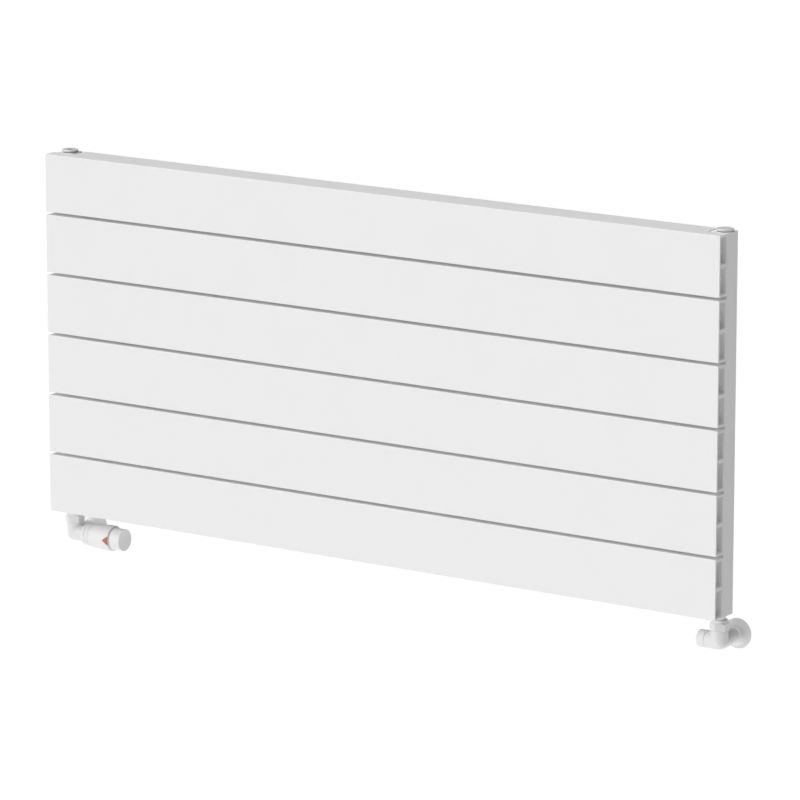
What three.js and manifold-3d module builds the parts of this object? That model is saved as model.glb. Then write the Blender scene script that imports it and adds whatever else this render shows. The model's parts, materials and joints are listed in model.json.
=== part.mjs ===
// A wall-hung horizontal flat-panel radiator with a corner thermostatic valve and a corner
// lockshield valve. Millimetres, +X to the right, +Y towards the wall, +Z up. The origin is on
// the wall plane, midway along the radiator, level with the bottom edge of the lowest panel.
import * as THREE from 'three';
import { mergeVertices } from 'three/addons/utils/BufferGeometryUtils.js';
import Module from 'manifold-3d';

const wasm = await Module();
wasm.setup();

// ---------------------------------------------------------------- driving dimensions

const CLEAR = 0.3; // working clearance between neighbouring pieces
const WIDTH = 1200; // overall width of the panels
const STAND_OFF = 90; // wall plane to front face
const FRONT_Y = -STAND_OFF;

const PANEL = {
  count: 6,
  height: 90,
  gap: 5,
  depth: 22,
  wall: 1.6, // front and back walls
  skin: 1.5, // top and bottom walls
  web: 3, // between the two chambers
  webEnd: 560, // the web stops here, so both chambers meet in a header space
};
const PITCH = PANEL.height + PANEL.gap;
const HEIGHT = PANEL.count * PITCH - PANEL.gap;
const PANEL_BACK_Y = FRONT_Y + PANEL.depth;
const MIDDLE = PANEL.height / 2;

// The collectors stand behind the panels. The left one is set in from the panel ends.
const LEFT_X = -580;
const RIGHT_X = 587;
const COLLECTOR = { width: 26, wall: 2, backY: -38, corner: 1.5, endBlock: 12, bore: 10.5 };
const COLLECTOR_FRONT_Y = PANEL_BACK_Y + CLEAR;

const FIN = { thickness: 1.5, slit: 6.5, topBackY: -38, backY: -44, low: 12, middle: 47 };
const PORT = { radius: 4, inward: 6 }; // water ports between panels and collectors
const END_CAP = { length: 13.5, floor: 2, rim: 1.4, web: 5 };

const PLUG = { thread: 10.2, threadLength: 11, flange: 12.6, flangeHeight: 3.2, chamfer: 0.6 };
const GASKET = { inner: 10.5, outer: 12.2, height: 0.8 };
const BLEED = { recess: 5.5, recessDepth: 2.6, hole: 2.6, shank: 2.2, key: 5, keyHeight: 2 };

const BRACKET_X = 450;
const BRACKET = { width: 30, plate: 3, low: 26, high: 76, arm: 60, lipY: -38.5, lipTop: 79.2 };
const BRACKET_HOLE = { radius: 3.3, low: 33, high: 69 };
const HANGER = { width: 26, plate: 2.5, low: 54, high: 82, lipLow: 66, lipY: -30 };
const SPACER = { z: 31, head: 11, headLength: 5, shaft: 8, foot: 14, footLength: 4 };

// Both valves: three legs meet at one point, up to the radiator, back to the wall pipe,
// and sideways to the thermostatic head or the lockshield cap.
const VALVE = { y: -53, z: -40, radius: 12.9, up: 16.8, back: 18, spigot: 10.4, spigotEnd: 24.2 };
const WATERWAY = { up: 6, upLow: 6.8, socket: 7.7, socketEnd: 9.5, link: 3, linkX: -4.5 };
const SEAT = { face: -1, orifice: 4.5, depth: 8 };
const TAIL = { neck: 8.75, collar: 10.4, collarLow: 25.8, collarHigh: 27.4, bore: 6.5, inside: 11.5 };
const UNION_SEAL = { inner: 6.8, outer: 10.2, low: 24.5, high: 25.5 };
const UNION_NUT = { acrossFlats: 25.6, hexHigh: 28.2, high: 32.8, collar: 12.3, lip: 9.1 };
const UNION_THREAD = { radius: 10.8, high: 27.7 };
const PIPE_NUT = { radius: 11.7, thread: 10.8, threadEnd: 31, end: 39.3, bore: 7.9 };
const OLIVE = { start: 25, end: 30.7, inner: 7.7, ends: 8.8, crown: 9.9 };
const ROSETTE = { length: 14, neck: 12.8, bore: 12, rim: 22.75, rimThickness: 1.5, lip: 1.05 };

// Thermostatic side, distances along its axis from the centre of the valve body.
const TRV_LEG = { radius: 12.5, end: 18.8, chamber: 8 };
const INSERT = { radius: 7.6, start: 7.5, flange: 10, flangeEnd: 22.5, stub: 6, stubEnd: 30.5 };
const INSERT_POCKET = { radius: 6, end: 12.5 };
const PIN = { radius: 1.6, hole: 1.95, end: 31.5 };
const DISC = { start: 0.65, thickness: 2.5, radius: 6.4 };
const SPRING = { radius: 4.6, wire: 0.5, start: 3.75, end: 12, turns: 5, stepsPerTurn: 8 };
const GROOVE = { floor: 6.2, half: 0.9, ring: 7.12, section: 0.6 };
const INSERT_GROOVE_AT = 15;
const HEAD_NUT = { start: 19.1, end: 28.4, small: 14, large: 16.9, bore: 10.4 };
const HEAD_BASE = { start: 28.7, end: 35.8, radius: 17.6, barrel: 14, barrelEnd: 62.5, bore: 12.6 };
const HEAD_BASE_HOLE = { stub: 6.4, stubEnd: 32.5, pusher: 4, floor: 38.5 };
const SENSOR = { radius: 12, start: 42.5, end: 68.5, pusher: 2.4, pusherStart: 31.8 };
const HANDLE = { start: 36.1, end: 76, small: 18, large: 20.2, bore: 14.4, round: 1.4 };
const HEAD_CAP = { start: 77.8, end: 96.4, large: 17.4, small: 17.2, neck: 15.6, spigot: 14.1 };
const HEAD_CAP_INSIDE = { spigotStart: 64.5, bore: 12.6, end: 93.4, round: 0.6 };
const MARKER = { tip: 66, halfHeight: 7.5, floor: 18.9, pocketFloor: 18.6, proud: 0.12, margin: 0.3 };

// Lockshield side, distances along its axis from the centre of the valve body.
const LOCK_LEG = { end: 19.8, chamber: 7.9 };
const BONNET = { radius: 7.5, start: 8, neck: 8, neckEnd: 29, bore: 4.3 };
const BONNET_GROOVE_AT = 14;
const LOCK_SPINDLE = { radius: 4, start: 9, end: 30.5, tip: 2.6, tipStart: 3.5, socket: 2.3, depth: 5 };
const LOCK_PLUG = { start: 0.65, end: 6.6, radius: 5.8, bore: 2.95, boreStart: 2 };
const LOCK_CAP = { start: 20.1, end: 33.6, radius: 13.1, bore: 8.5, boreEnd: 30.9, round: 2 };

const COARSE = 12; // facets round a small hidden piece
const ROUND = 20; // facets round an ordinary turned piece
const FINE = 28; // facets round the large visible ones

// ---------------------------------------------------------------- finishes

const WHITE_COAT = { color: 0xe9e9e8, roughness: 0.45, metalness: 0 };
const WHITE_PLASTIC = { color: 0xededec, roughness: 0.4, metalness: 0 };
const RED_PLASTIC = { color: 0xc05a44, roughness: 0.45, metalness: 0 };
const BRASS = { color: 0xb9985a, roughness: 0.35, metalness: 1 };
const STEEL = { color: 0xb4b6b8, roughness: 0.4, metalness: 1 };
const RUBBER = { color: 0x1c1c1c, roughness: 0.8, metalness: 0 };
const GREY_PLASTIC = { color: 0x8b8d8f, roughness: 0.6, metalness: 0 };

// ---------------------------------------------------------------- solids

// A closed three.js geometry as a solid that can be joined and cut.
function toSolid(geometry) {
  geometry.deleteAttribute('normal');
  geometry.deleteAttribute('uv');
  const merged = mergeVertices(geometry);
  const corners = merged.index.array;
  const triangles = [];
  for (let i = 0; i < corners.length; i += 3) {
    const [a, b, c] = corners.slice(i, i + 3);
    if (a !== b && b !== c && c !== a) {
      triangles.push(a, b, c);
    }
  }
  return new wasm.Manifold(new wasm.Mesh({
    numProp: 3,
    vertProperties: merged.attributes.position.array,
    triVerts: new Uint32Array(triangles),
  }));
}

function toGeometry(solid) {
  const mesh = solid.getMesh();
  const geometry = new THREE.BufferGeometry();
  geometry.setAttribute('position', new THREE.BufferAttribute(mesh.vertProperties, 3));
  geometry.setIndex(new THREE.BufferAttribute(mesh.triVerts, 1));
  geometry.computeVertexNormals();
  return geometry;
}

// A rectangular block between two limits along each axis.
function block([x0, x1], [y0, y1], [z0, z1]) {
  const geometry = new THREE.BoxGeometry(x1 - x0, y1 - y0, z1 - z0);
  geometry.translate((x0 + x1) / 2, (y0 + y1) / 2, (z0 + z1) / 2);
  return toSolid(geometry);
}

// How a turned geometry, made along three.js's own Y, is laid along an axis of the part.
const LAY_ALONG = {
  '+X': (geometry) => geometry.rotateZ(-Math.PI / 2),
  '-X': (geometry) => geometry.rotateZ(Math.PI / 2),
  '+Y': (geometry) => geometry,
  '+Z': (geometry) => geometry.rotateX(Math.PI / 2),
};

// A turned piece. The profile is a list of [radius, distance along the axis]; one that doesn't
// start and end on the axis closes on itself as a ring.
function turned(profile, axis, facets = ROUND) {
  const points = profile.map(([radius, along]) => new THREE.Vector2(radius, along));
  if (THREE.ShapeUtils.area(points) < 0) {
    points.reverse();
  }
  if (points[0].x > 0) {
    points.push(points[0].clone());
  }
  return toSolid(LAY_ALONG[axis](new THREE.LatheGeometry(points, facets)));
}

function rod(radius, start, end, axis, facets = ROUND) {
  return turned([[0, start], [radius, start], [radius, end], [0, end]], axis, facets);
}

function ring(inner, outer, start, end, axis, facets = ROUND) {
  return turned([[inner, start], [outer, start], [outer, end], [inner, end]], axis, facets);
}

// Points along an arc of an ellipse in a profile, from one angle to another.
function arc([centreRadius, centreAlong], radius, along, from, to, steps) {
  return Array.from({ length: steps + 1 }, (_, i) => {
    const angle = from + ((to - from) * i) / steps;
    return [centreRadius + radius * Math.cos(angle), centreAlong + along * Math.sin(angle)];
  });
}

function outline(points) {
  return new THREE.Shape(points.map(([x, y]) => new THREE.Vector2(x, y)));
}

// A prism standing on the XY plane between two heights.
function prism(points, [low, high]) {
  const geometry = new THREE.ExtrudeGeometry(outline(points), {
    depth: high - low,
    bevelEnabled: false,
  });
  return toSolid(geometry.translate(0, 0, low));
}

// A bent strip: an outline in Y and Z, run along X and centred on x = 0.
function strip(points, width) {
  const geometry = new THREE.ExtrudeGeometry(outline(points), {
    depth: width,
    bevelEnabled: false,
  });
  const toYZX = new THREE.Matrix4().makeBasis(
    new THREE.Vector3(0, 1, 0),
    new THREE.Vector3(0, 0, 1),
    new THREE.Vector3(1, 0, 0),
  );
  geometry.translate(0, 0, -width / 2);
  return toSolid(geometry.applyMatrix4(toYZX));
}

function addPart(group, name, solid, finish) {
  const mesh = new THREE.Mesh(toGeometry(solid), new THREE.MeshStandardMaterial(finish));
  mesh.name = name;
  group.add(mesh);
  return mesh;
}

function groupAt(parent, x, y, z) {
  const group = new THREE.Group();
  group.position.set(x, y, z);
  parent.add(group);
  return group;
}

// ---------------------------------------------------------------- heating body

// One panel, standing on z = 0: a flat tube with a web along its middle and fins on its back.
function makePanel() {
  const half = WIDTH / 2;
  const across = [FRONT_Y + PANEL.wall, PANEL_BACK_Y - PANEL.wall];
  const inside = [PANEL.skin, PANEL.height - PANEL.skin];
  const webSpan = [MIDDLE - PANEL.web / 2, MIDDLE + PANEL.web / 2];
  const reach = COLLECTOR.width / 2 + FIN.slit;
  const finSpan = [LEFT_X + reach, RIGHT_X - reach];
  const root = PANEL_BACK_Y - PANEL.wall / 2;
  let panel = block([-half, half], [FRONT_Y, PANEL_BACK_Y], [0, PANEL.height]);
  panel = panel.subtract(block([-half - 1, half + 1], across, inside));
  const webRoots = [FRONT_Y + PANEL.wall / 2, root];
  panel = panel.add(block([-PANEL.webEnd, PANEL.webEnd], webRoots, webSpan));
  const topFin = [PANEL.height - FIN.thickness, PANEL.height];
  panel = panel.add(block(finSpan, [root, FIN.topBackY], topFin));
  for (const low of [FIN.low, FIN.middle]) {
    panel = panel.add(block(finSpan, [root, FIN.backY], [low, low + FIN.thickness]));
  }
  for (const x of [LEFT_X + PORT.inward, RIGHT_X - PORT.inward]) {
    const port = rod(PORT.radius, root - PANEL.wall, root + PANEL.wall, '+Y', COARSE);
    panel = panel.subtract(port.translate([x, 0, MIDDLE]));
  }
  return panel;
}

// The insert that closes one end of a panel, with a recessed pocket over each chamber.
function makeEndCap(side) {
  const outer = side * (WIDTH / 2);
  const alongX = (...depths) => depths.map((d) => outer - side * d).sort((a, b) => a - b);
  const acrossGap = PANEL.wall + CLEAR;
  const heightGap = PANEL.skin + CLEAR;
  const acrossFull = [FRONT_Y + acrossGap, PANEL_BACK_Y - acrossGap];
  const heightFull = [heightGap, PANEL.height - heightGap];
  const acrossPocket = [acrossFull[0] + END_CAP.rim, acrossFull[1] - END_CAP.rim];
  const pockets = [
    [heightFull[0] + END_CAP.rim, MIDDLE - END_CAP.web / 2],
    [MIDDLE + END_CAP.web / 2, heightFull[1] - END_CAP.rim],
  ];
  let cap = block(alongX(0, END_CAP.length), acrossFull, heightFull);
  for (const height of pockets) {
    cap = cap.subtract(block(alongX(-1, END_CAP.length - END_CAP.floor), acrossPocket, height));
  }
  return cap;
}

// A header tube, centred on x = 0, with eased back corners and a threaded hole at each end.
function makeCollector(side) {
  const half = COLLECTOR.width / 2;
  const backCorner = (sign) => {
    const centre = [sign * (half - COLLECTOR.corner), COLLECTOR.backY - COLLECTOR.corner];
    const from = sign > 0 ? 0 : Math.PI / 2;
    return arc(centre, COLLECTOR.corner, COLLECTOR.corner, from, from + Math.PI / 2, 3);
  };
  const section = [
    [-half, COLLECTOR_FRONT_Y],
    [half, COLLECTOR_FRONT_Y],
    ...backCorner(1),
    ...backCorner(-1),
  ];
  const insideX = [-half + COLLECTOR.wall, half - COLLECTOR.wall];
  const insideY = [COLLECTOR_FRONT_Y + COLLECTOR.wall, COLLECTOR.backY - COLLECTOR.wall];
  const insideZ = [COLLECTOR.endBlock, HEIGHT - COLLECTOR.endBlock];
  let tube = prism(section, [0, HEIGHT]).subtract(block(insideX, insideY, insideZ));
  const bore = rod(COLLECTOR.bore, -1, HEIGHT + 1, '+Z');
  tube = tube.subtract(bore.translate([0, VALVE.y, 0]));
  const portX = -side * PORT.inward;
  const portSpan = [COLLECTOR_FRONT_Y - 1, COLLECTOR_FRONT_Y + COLLECTOR.wall + 1];
  for (let i = 0; i < PANEL.count; i += 1) {
    const port = rod(PORT.radius, ...portSpan, '+Y', COARSE);
    tube = tube.subtract(port.translate([portX, 0, i * PITCH + MIDDLE]));
  }
  return tube;
}

// ---------------------------------------------------------------- top plugs

// Plugs stand on the top of a collector, at z = 0.
const FLANGE_LOW = GASKET.height + CLEAR;
const FLANGE_HIGH = FLANGE_LOW + PLUG.flangeHeight;

function makePlug() {
  return turned([
    [0, -PLUG.threadLength],
    [PLUG.thread, -PLUG.threadLength],
    [PLUG.thread, FLANGE_LOW],
    [PLUG.flange, FLANGE_LOW],
    [PLUG.flange, FLANGE_HIGH - PLUG.chamfer],
    [PLUG.flange - PLUG.chamfer, FLANGE_HIGH],
    [0, FLANGE_HIGH],
  ], '+Z');
}

function makeAirVentPlug() {
  const recess = rod(BLEED.recess, FLANGE_HIGH - BLEED.recessDepth, FLANGE_HIGH + 1, '+Z', COARSE);
  const hole = rod(BLEED.hole, -PLUG.threadLength - 1, FLANGE_HIGH, '+Z', COARSE);
  return makePlug().subtract(recess).subtract(hole);
}

function makeGasket() {
  return ring(GASKET.inner, GASKET.outer, CLEAR, GASKET.height, '+Z');
}

// A vent screw with a square key end that sits in the recess of the air vent plug.
function makeBleedScrew() {
  const keyLow = FLANGE_HIGH - BLEED.recessDepth + CLEAR;
  const half = BLEED.key / 2;
  const key = block([-half, half], [-half, half], [keyLow, keyLow + BLEED.keyHeight]);
  return rod(BLEED.shank, -PLUG.threadLength, keyLow + CLEAR, '+Z', COARSE).add(key);
}

// ---------------------------------------------------------------- wall fixings

// A hook on the back of the top panel. Its turned-down lip drops behind the bracket's lip.
function makeHanger() {
  const plateY = PANEL_BACK_Y + CLEAR;
  const shelfLow = HANGER.high - HANGER.plate;
  return strip([
    [plateY, HANGER.low],
    [plateY + HANGER.plate, HANGER.low],
    [plateY + HANGER.plate, shelfLow],
    [HANGER.lipY - HANGER.plate, shelfLow],
    [HANGER.lipY - HANGER.plate, HANGER.lipLow],
    [HANGER.lipY, HANGER.lipLow],
    [HANGER.lipY, HANGER.high],
    [plateY, HANGER.high],
  ], HANGER.width);
}

// A wall plate with two screw holes and an arm that ends in a turned-up lip.
function makeWallBracket() {
  const armHigh = BRACKET.arm + BRACKET.plate;
  let bracket = strip([
    [0, BRACKET.low],
    [0, BRACKET.high],
    [-BRACKET.plate, BRACKET.high],
    [-BRACKET.plate, armHigh],
    [BRACKET.lipY + BRACKET.plate, armHigh],
    [BRACKET.lipY + BRACKET.plate, BRACKET.lipTop],
    [BRACKET.lipY, BRACKET.lipTop],
    [BRACKET.lipY, BRACKET.arm],
    [-BRACKET.plate, BRACKET.arm],
    [-BRACKET.plate, BRACKET.low],
  ].reverse(), BRACKET.width);
  for (const z of [BRACKET_HOLE.low, BRACKET_HOLE.high]) {
    const hole = rod(BRACKET_HOLE.radius, -BRACKET.plate - 1, 1, '+Y', COARSE);
    bracket = bracket.subtract(hole.translate([0, 0, z]));
  }
  return bracket;
}

// A turned stand-off that keeps the lowest panel parallel to the wall.
function makeSpacer() {
  const start = PANEL_BACK_Y + CLEAR;
  return turned([
    [0, start],
    [SPACER.head, start],
    [SPACER.head, start + SPACER.headLength],
    [SPACER.shaft, start + SPACER.headLength],
    [SPACER.shaft, -SPACER.footLength],
    [SPACER.foot, -SPACER.footLength],
    [SPACER.foot, 0],
    [0, 0],
  ], '+Y', COARSE);
}

// ---------------------------------------------------------------- valve connections

// Water comes from the wall pipe through the seat's orifice into the chamber, and goes up.
function makeValveBody(axis, legRadius, legEnd, chamber) {
  const side = axis === '+X' ? 1 : -1;
  const ball = toSolid(new THREE.SphereGeometry(VALVE.radius, ROUND, ROUND / 2));
  let body = ball.add(rod(VALVE.radius, 0, VALVE.up, '+Z'));
  body = body.add(rod(VALVE.radius, 0, VALVE.back, '+Y'));
  body = body.add(rod(VALVE.spigot, 0, VALVE.spigotEnd, '+Z'));
  body = body.add(rod(VALVE.spigot, 0, VALVE.spigotEnd, '+Y'));
  body = body.add(rod(legRadius, 0, legEnd, axis));
  body = body.subtract(rod(chamber, SEAT.face, legEnd + 1, axis));
  body = body.subtract(rod(SEAT.orifice, -SEAT.depth, legEnd, axis, COARSE));
  body = body.subtract(rod(WATERWAY.up, WATERWAY.upLow, VALVE.spigotEnd + 1, '+Z', COARSE));
  body = body.subtract(rod(WATERWAY.socket, WATERWAY.socketEnd, VALVE.spigotEnd + 1, '+Y'));
  const link = rod(WATERWAY.link, 0, WATERWAY.socketEnd + 1, '+Y', COARSE);
  return body.subtract(link.translate([side * WATERWAY.linkX, 0, 0]));
}

// The short tube screwed up into the collector, with the collar that the union nut pulls down.
function makeTailpiece() {
  const collectorLow = -VALVE.z;
  return turned([
    [TAIL.bore, TAIL.collarLow],
    [TAIL.collar, TAIL.collarLow],
    [TAIL.collar, TAIL.collarHigh],
    [TAIL.neck, TAIL.collarHigh],
    [TAIL.neck, collectorLow],
    [PLUG.thread, collectorLow + 1],
    [PLUG.thread, collectorLow + TAIL.inside],
    [TAIL.bore, collectorLow + TAIL.inside],
  ], '+Z');
}

// A hexagon below and a round collar above, with a threaded bore and an inward lip.
function makeUnionNut() {
  const low = VALVE.up + CLEAR;
  const corner = UNION_NUT.acrossFlats / 2 / Math.cos(Math.PI / 6);
  const hexagon = Array.from({ length: 6 }, (_, i) => {
    const angle = Math.PI / 6 + (i * Math.PI) / 3;
    return [corner * Math.cos(angle), corner * Math.sin(angle)];
  });
  const chamfer = corner - UNION_NUT.collar;
  const envelope = turned([
    [0, low],
    [corner - chamfer / 2, low],
    [corner, low + chamfer / 2],
    [corner, UNION_NUT.hexHigh - chamfer / 2],
    [UNION_NUT.collar, UNION_NUT.hexHigh + chamfer / 2],
    [UNION_NUT.collar, UNION_NUT.high - 1],
    [UNION_NUT.collar - 1.4, UNION_NUT.high],
    [0, UNION_NUT.high],
  ], '+Z', FINE);
  const hex = prism(hexagon, [low, UNION_NUT.hexHigh + chamfer / 2]);
  const collar = rod(UNION_NUT.collar, UNION_NUT.hexHigh, UNION_NUT.high, '+Z', FINE);
  const nut = hex.add(collar).intersect(envelope);
  const thread = rod(UNION_THREAD.radius, low - 1, UNION_THREAD.high, '+Z');
  return nut.subtract(thread).subtract(rod(UNION_NUT.lip, low, UNION_NUT.high + 1, '+Z'));
}

function makeUnionSeal() {
  return ring(UNION_SEAL.inner, UNION_SEAL.outer, UNION_SEAL.low, UNION_SEAL.high, '+Z');
}

// The round sleeve nut that squeezes the olive on to the wall pipe.
function makePipeNut() {
  const start = VALVE.back + CLEAR;
  return turned([
    [PIPE_NUT.thread, start],
    [PIPE_NUT.radius, start],
    [PIPE_NUT.radius, PIPE_NUT.end],
    [PIPE_NUT.bore, PIPE_NUT.end],
    [PIPE_NUT.bore, PIPE_NUT.threadEnd],
    [PIPE_NUT.thread, PIPE_NUT.threadEnd],
  ], '+Y');
}

function makeOlive() {
  const middle = (OLIVE.start + OLIVE.end) / 2;
  return turned([
    [OLIVE.inner, OLIVE.start],
    [OLIVE.ends, OLIVE.start],
    [OLIVE.crown, middle],
    [OLIVE.ends, OLIVE.end],
    [OLIVE.inner, OLIVE.end],
  ], '+Y');
}

// A trumpet-shaped wall cover that slides on the sleeve nut. Its rim lies against the wall.
function makeRosette() {
  const wall = -VALVE.y;
  const start = wall - ROSETTE.length;
  const flare = (throat, rim, length) => arc(
    [rim, start],
    throat - rim,
    length,
    0,
    Math.PI / 2,
    5,
  );
  const outside = flare(ROSETTE.neck, ROSETTE.rim, ROSETTE.length - ROSETTE.rimThickness);
  const inside = flare(ROSETTE.bore, ROSETTE.rim - ROSETTE.lip, ROSETTE.length);
  return turned([...outside, [ROSETTE.rim, wall], ...inside.reverse()], '+Y', FINE);
}

function addValveConnections(valve, prefix) {
  addPart(valve, `${prefix}_tailpiece`, makeTailpiece(), WHITE_COAT);
  addPart(valve, `${prefix}_union_nut`, makeUnionNut(), WHITE_COAT);
  addPart(valve, `${prefix}_union_seal`, makeUnionSeal(), RUBBER);
  addPart(valve, `${prefix}_compression_nut`, makePipeNut(), WHITE_COAT);
  addPart(valve, `${prefix}_olive`, makeOlive(), BRASS);
  addPart(valve, `${prefix}_rosette`, makeRosette(), WHITE_COAT);
}

// A seal ring round a screwed-in piece, in the groove that grooved() cuts.
function makeGrooveRing(at, axis) {
  const circle = arc([GROOVE.ring, at], GROOVE.section, GROOVE.section, 0, 2 * Math.PI, 6);
  return turned(circle.slice(0, -1), axis);
}

function grooved(solid, at, axis) {
  const outside = TRV_LEG.radius;
  return solid.subtract(ring(GROOVE.floor, outside, at - GROOVE.half, at + GROOVE.half, axis));
}

// ---------------------------------------------------------------- thermostatic valve

// The brass insert screwed into the sideways leg. It guides the pin and backs the spring.
function makeInsert() {
  const insert = turned([
    [0, INSERT.start],
    [INSERT.radius, INSERT.start],
    [INSERT.radius, TRV_LEG.end + CLEAR],
    [INSERT.flange, TRV_LEG.end + CLEAR],
    [INSERT.flange, INSERT.flangeEnd],
    [INSERT.stub, INSERT.flangeEnd],
    [INSERT.stub, INSERT.stubEnd],
    [0, INSERT.stubEnd],
  ], '+X');
  const pocket = rod(INSERT_POCKET.radius, INSERT.start - 1, INSERT_POCKET.end, '+X');
  const hole = rod(PIN.hole, INSERT.start, INSERT.stubEnd + 1, '+X', COARSE);
  return grooved(insert.subtract(pocket).subtract(hole), INSERT_GROOVE_AT, '+X');
}

// The valve disc and the pin that pushes it towards the seat.
function makeSpindle() {
  return turned([
    [0, DISC.start],
    [DISC.radius, DISC.start],
    [DISC.radius, DISC.start + DISC.thickness],
    [PIN.radius, DISC.start + DISC.thickness],
    [PIN.radius, PIN.end],
    [0, PIN.end],
  ], '+X', COARSE);
}

class Helix extends THREE.Curve {
  getPoint(t, target = new THREE.Vector3()) {
    const angle = t * SPRING.turns * 2 * Math.PI;
    const along = SPRING.start + SPRING.wire + t * (SPRING.end - SPRING.start - 2 * SPRING.wire);
    return target.set(along, SPRING.radius * Math.cos(angle), SPRING.radius * Math.sin(angle));
  }
}

function makeReturnSpring() {
  const sides = 6;
  const section = Array.from({ length: sides }, (_, i) => {
    const angle = (i * 2 * Math.PI) / sides;
    return [SPRING.wire * Math.cos(angle), SPRING.wire * Math.sin(angle)];
  });
  return toSolid(new THREE.ExtrudeGeometry(outline(section), {
    steps: SPRING.turns * SPRING.stepsPerTurn,
    bevelEnabled: false,
    extrudePath: new Helix(),
  }));
}

// The nut that clamps the head to the insert, a plain cone outside.
function makeHeadNut() {
  return turned([
    [HEAD_NUT.bore, HEAD_NUT.start],
    [HEAD_NUT.small, HEAD_NUT.start],
    [HEAD_NUT.large, HEAD_NUT.end],
    [HEAD_NUT.bore, HEAD_NUT.end],
  ], '+X', FINE);
}

// The fixed part of the head: a band outside and a barrel inside that carries the handle.
function makeHeadBase() {
  return turned([
    [HEAD_BASE_HOLE.stub, HEAD_BASE.start],
    [HEAD_BASE.radius, HEAD_BASE.start],
    [HEAD_BASE.radius, HEAD_BASE.end],
    [HEAD_BASE.barrel, HEAD_BASE.end],
    [HEAD_BASE.barrel, HEAD_BASE.barrelEnd],
    [HEAD_BASE.bore, HEAD_BASE.barrelEnd],
    [HEAD_BASE.bore, HEAD_BASE_HOLE.floor],
    [HEAD_BASE_HOLE.pusher, HEAD_BASE_HOLE.floor],
    [HEAD_BASE_HOLE.pusher, HEAD_BASE_HOLE.stubEnd],
    [HEAD_BASE_HOLE.stub, HEAD_BASE_HOLE.stubEnd],
  ], '+X', FINE);
}

// The liquid-filled cartridge, with the pusher that meets the pin of the insert.
function makeSensor() {
  return turned([
    [0, SENSOR.pusherStart],
    [SENSOR.pusher, SENSOR.pusherStart],
    [SENSOR.pusher, SENSOR.start],
    [SENSOR.radius, SENSOR.start],
    [SENSOR.radius, SENSOR.end],
    [0, SENSOR.end],
  ], '+X');
}

// The outer line of the handle: it swells from the base and rounds over at its far end.
function handleSwell(lift = 0) {
  const steps = 5;
  const swellEnd = HANDLE.end - HANDLE.round;
  const swell = Array.from({ length: steps + 1 }, (_, i) => {
    const t = i / steps;
    const radius = HANDLE.small + (HANDLE.large - HANDLE.small) * Math.sin((t * Math.PI) / 2);
    return [radius + lift, HANDLE.start + t * (swellEnd - HANDLE.start)];
  });
  const roundCentre = [HANDLE.large - HANDLE.round, swellEnd];
  const over = arc(roundCentre, HANDLE.round + lift, HANDLE.round, 0, Math.PI / 2, 2);
  return [...swell, ...over.slice(1)];
}

// A triangular prism that runs forward from the head's axis, point towards the base.
function markerPrism(margin) {
  const far = HANDLE.end + 2;
  const slope = MARKER.halfHeight / (HANDLE.end - MARKER.tip);
  const side = Math.hypot(1, slope) * margin;
  const tip = MARKER.tip - side / slope;
  const half = slope * (far - tip);
  const triangle = prism([[tip, 0], [far, -half], [far, half]], [0, 2 * HANDLE.large]);
  return triangle.rotate([90, 0, 0]);
}

// The knob that the user turns, with a shallow triangular pocket for the marker.
function makeHandle() {
  const handle = turned([
    [HANDLE.bore, HANDLE.start],
    ...handleSwell(),
    [HANDLE.bore, HANDLE.end],
  ], '+X', FINE);
  const core = rod(MARKER.pocketFloor, HANDLE.start - 1, HANDLE.end + 4, '+X', FINE);
  return handle.subtract(markerPrism(0).subtract(core));
}

// A plain triangular inlay that follows the curve of the handle.
function makeMarker() {
  const skin = turned([
    [0, HANDLE.start],
    ...handleSwell(MARKER.proud),
    [0, HANDLE.end],
  ], '+X', FINE);
  const core = rod(MARKER.floor, HANDLE.start - 1, HANDLE.end + 4, '+X', FINE);
  return skin.subtract(core).intersect(markerPrism(-MARKER.margin));
}

// The plain cap that closes the far end of the head. A narrow neck leaves a groove behind it.
function makeHeadCap() {
  const rim = HEAD_CAP_INSIDE.round;
  const rounded = arc([HEAD_CAP.small - rim, HEAD_CAP.end - rim], rim, rim, 0, Math.PI / 2, 2);
  return turned([
    [HEAD_CAP_INSIDE.bore, HEAD_CAP_INSIDE.spigotStart],
    [HEAD_CAP.spigot, HEAD_CAP_INSIDE.spigotStart],
    [HEAD_CAP.spigot, HANDLE.end + CLEAR],
    [HEAD_CAP.neck, HANDLE.end + CLEAR],
    [HEAD_CAP.neck, HEAD_CAP.start],
    [HEAD_CAP.large, HEAD_CAP.start],
    ...rounded,
    [0, HEAD_CAP.end],
    [0, HEAD_CAP_INSIDE.end],
    [HEAD_CAP_INSIDE.bore, HEAD_CAP_INSIDE.end],
  ], '+X', FINE);
}

function addThermostaticValve(model) {
  const valve = groupAt(model, LEFT_X, VALVE.y, VALVE.z);
  const body = makeValveBody('+X', TRV_LEG.radius, TRV_LEG.end, TRV_LEG.chamber);
  addPart(valve, 'trv_body', body, WHITE_COAT);
  addValveConnections(valve, 'trv');
  addPart(valve, 'trv_insert', makeInsert(), BRASS);
  addPart(valve, 'trv_insert_seal', makeGrooveRing(INSERT_GROOVE_AT, '+X'), RUBBER);
  addPart(valve, 'trv_spindle', makeSpindle(), STEEL);
  addPart(valve, 'trv_return_spring', makeReturnSpring(), STEEL);
  addPart(valve, 'trv_head_nut', makeHeadNut(), WHITE_PLASTIC);
  addPart(valve, 'trv_head_base', makeHeadBase(), WHITE_PLASTIC);
  addPart(valve, 'trv_sensor', makeSensor(), GREY_PLASTIC);
  addPart(valve, 'trv_handle', makeHandle(), WHITE_PLASTIC);
  addPart(valve, 'trv_marker', makeMarker(), RED_PLASTIC);
  addPart(valve, 'trv_head_cap', makeHeadCap(), WHITE_PLASTIC);
}

// ---------------------------------------------------------------- lockshield valve

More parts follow.
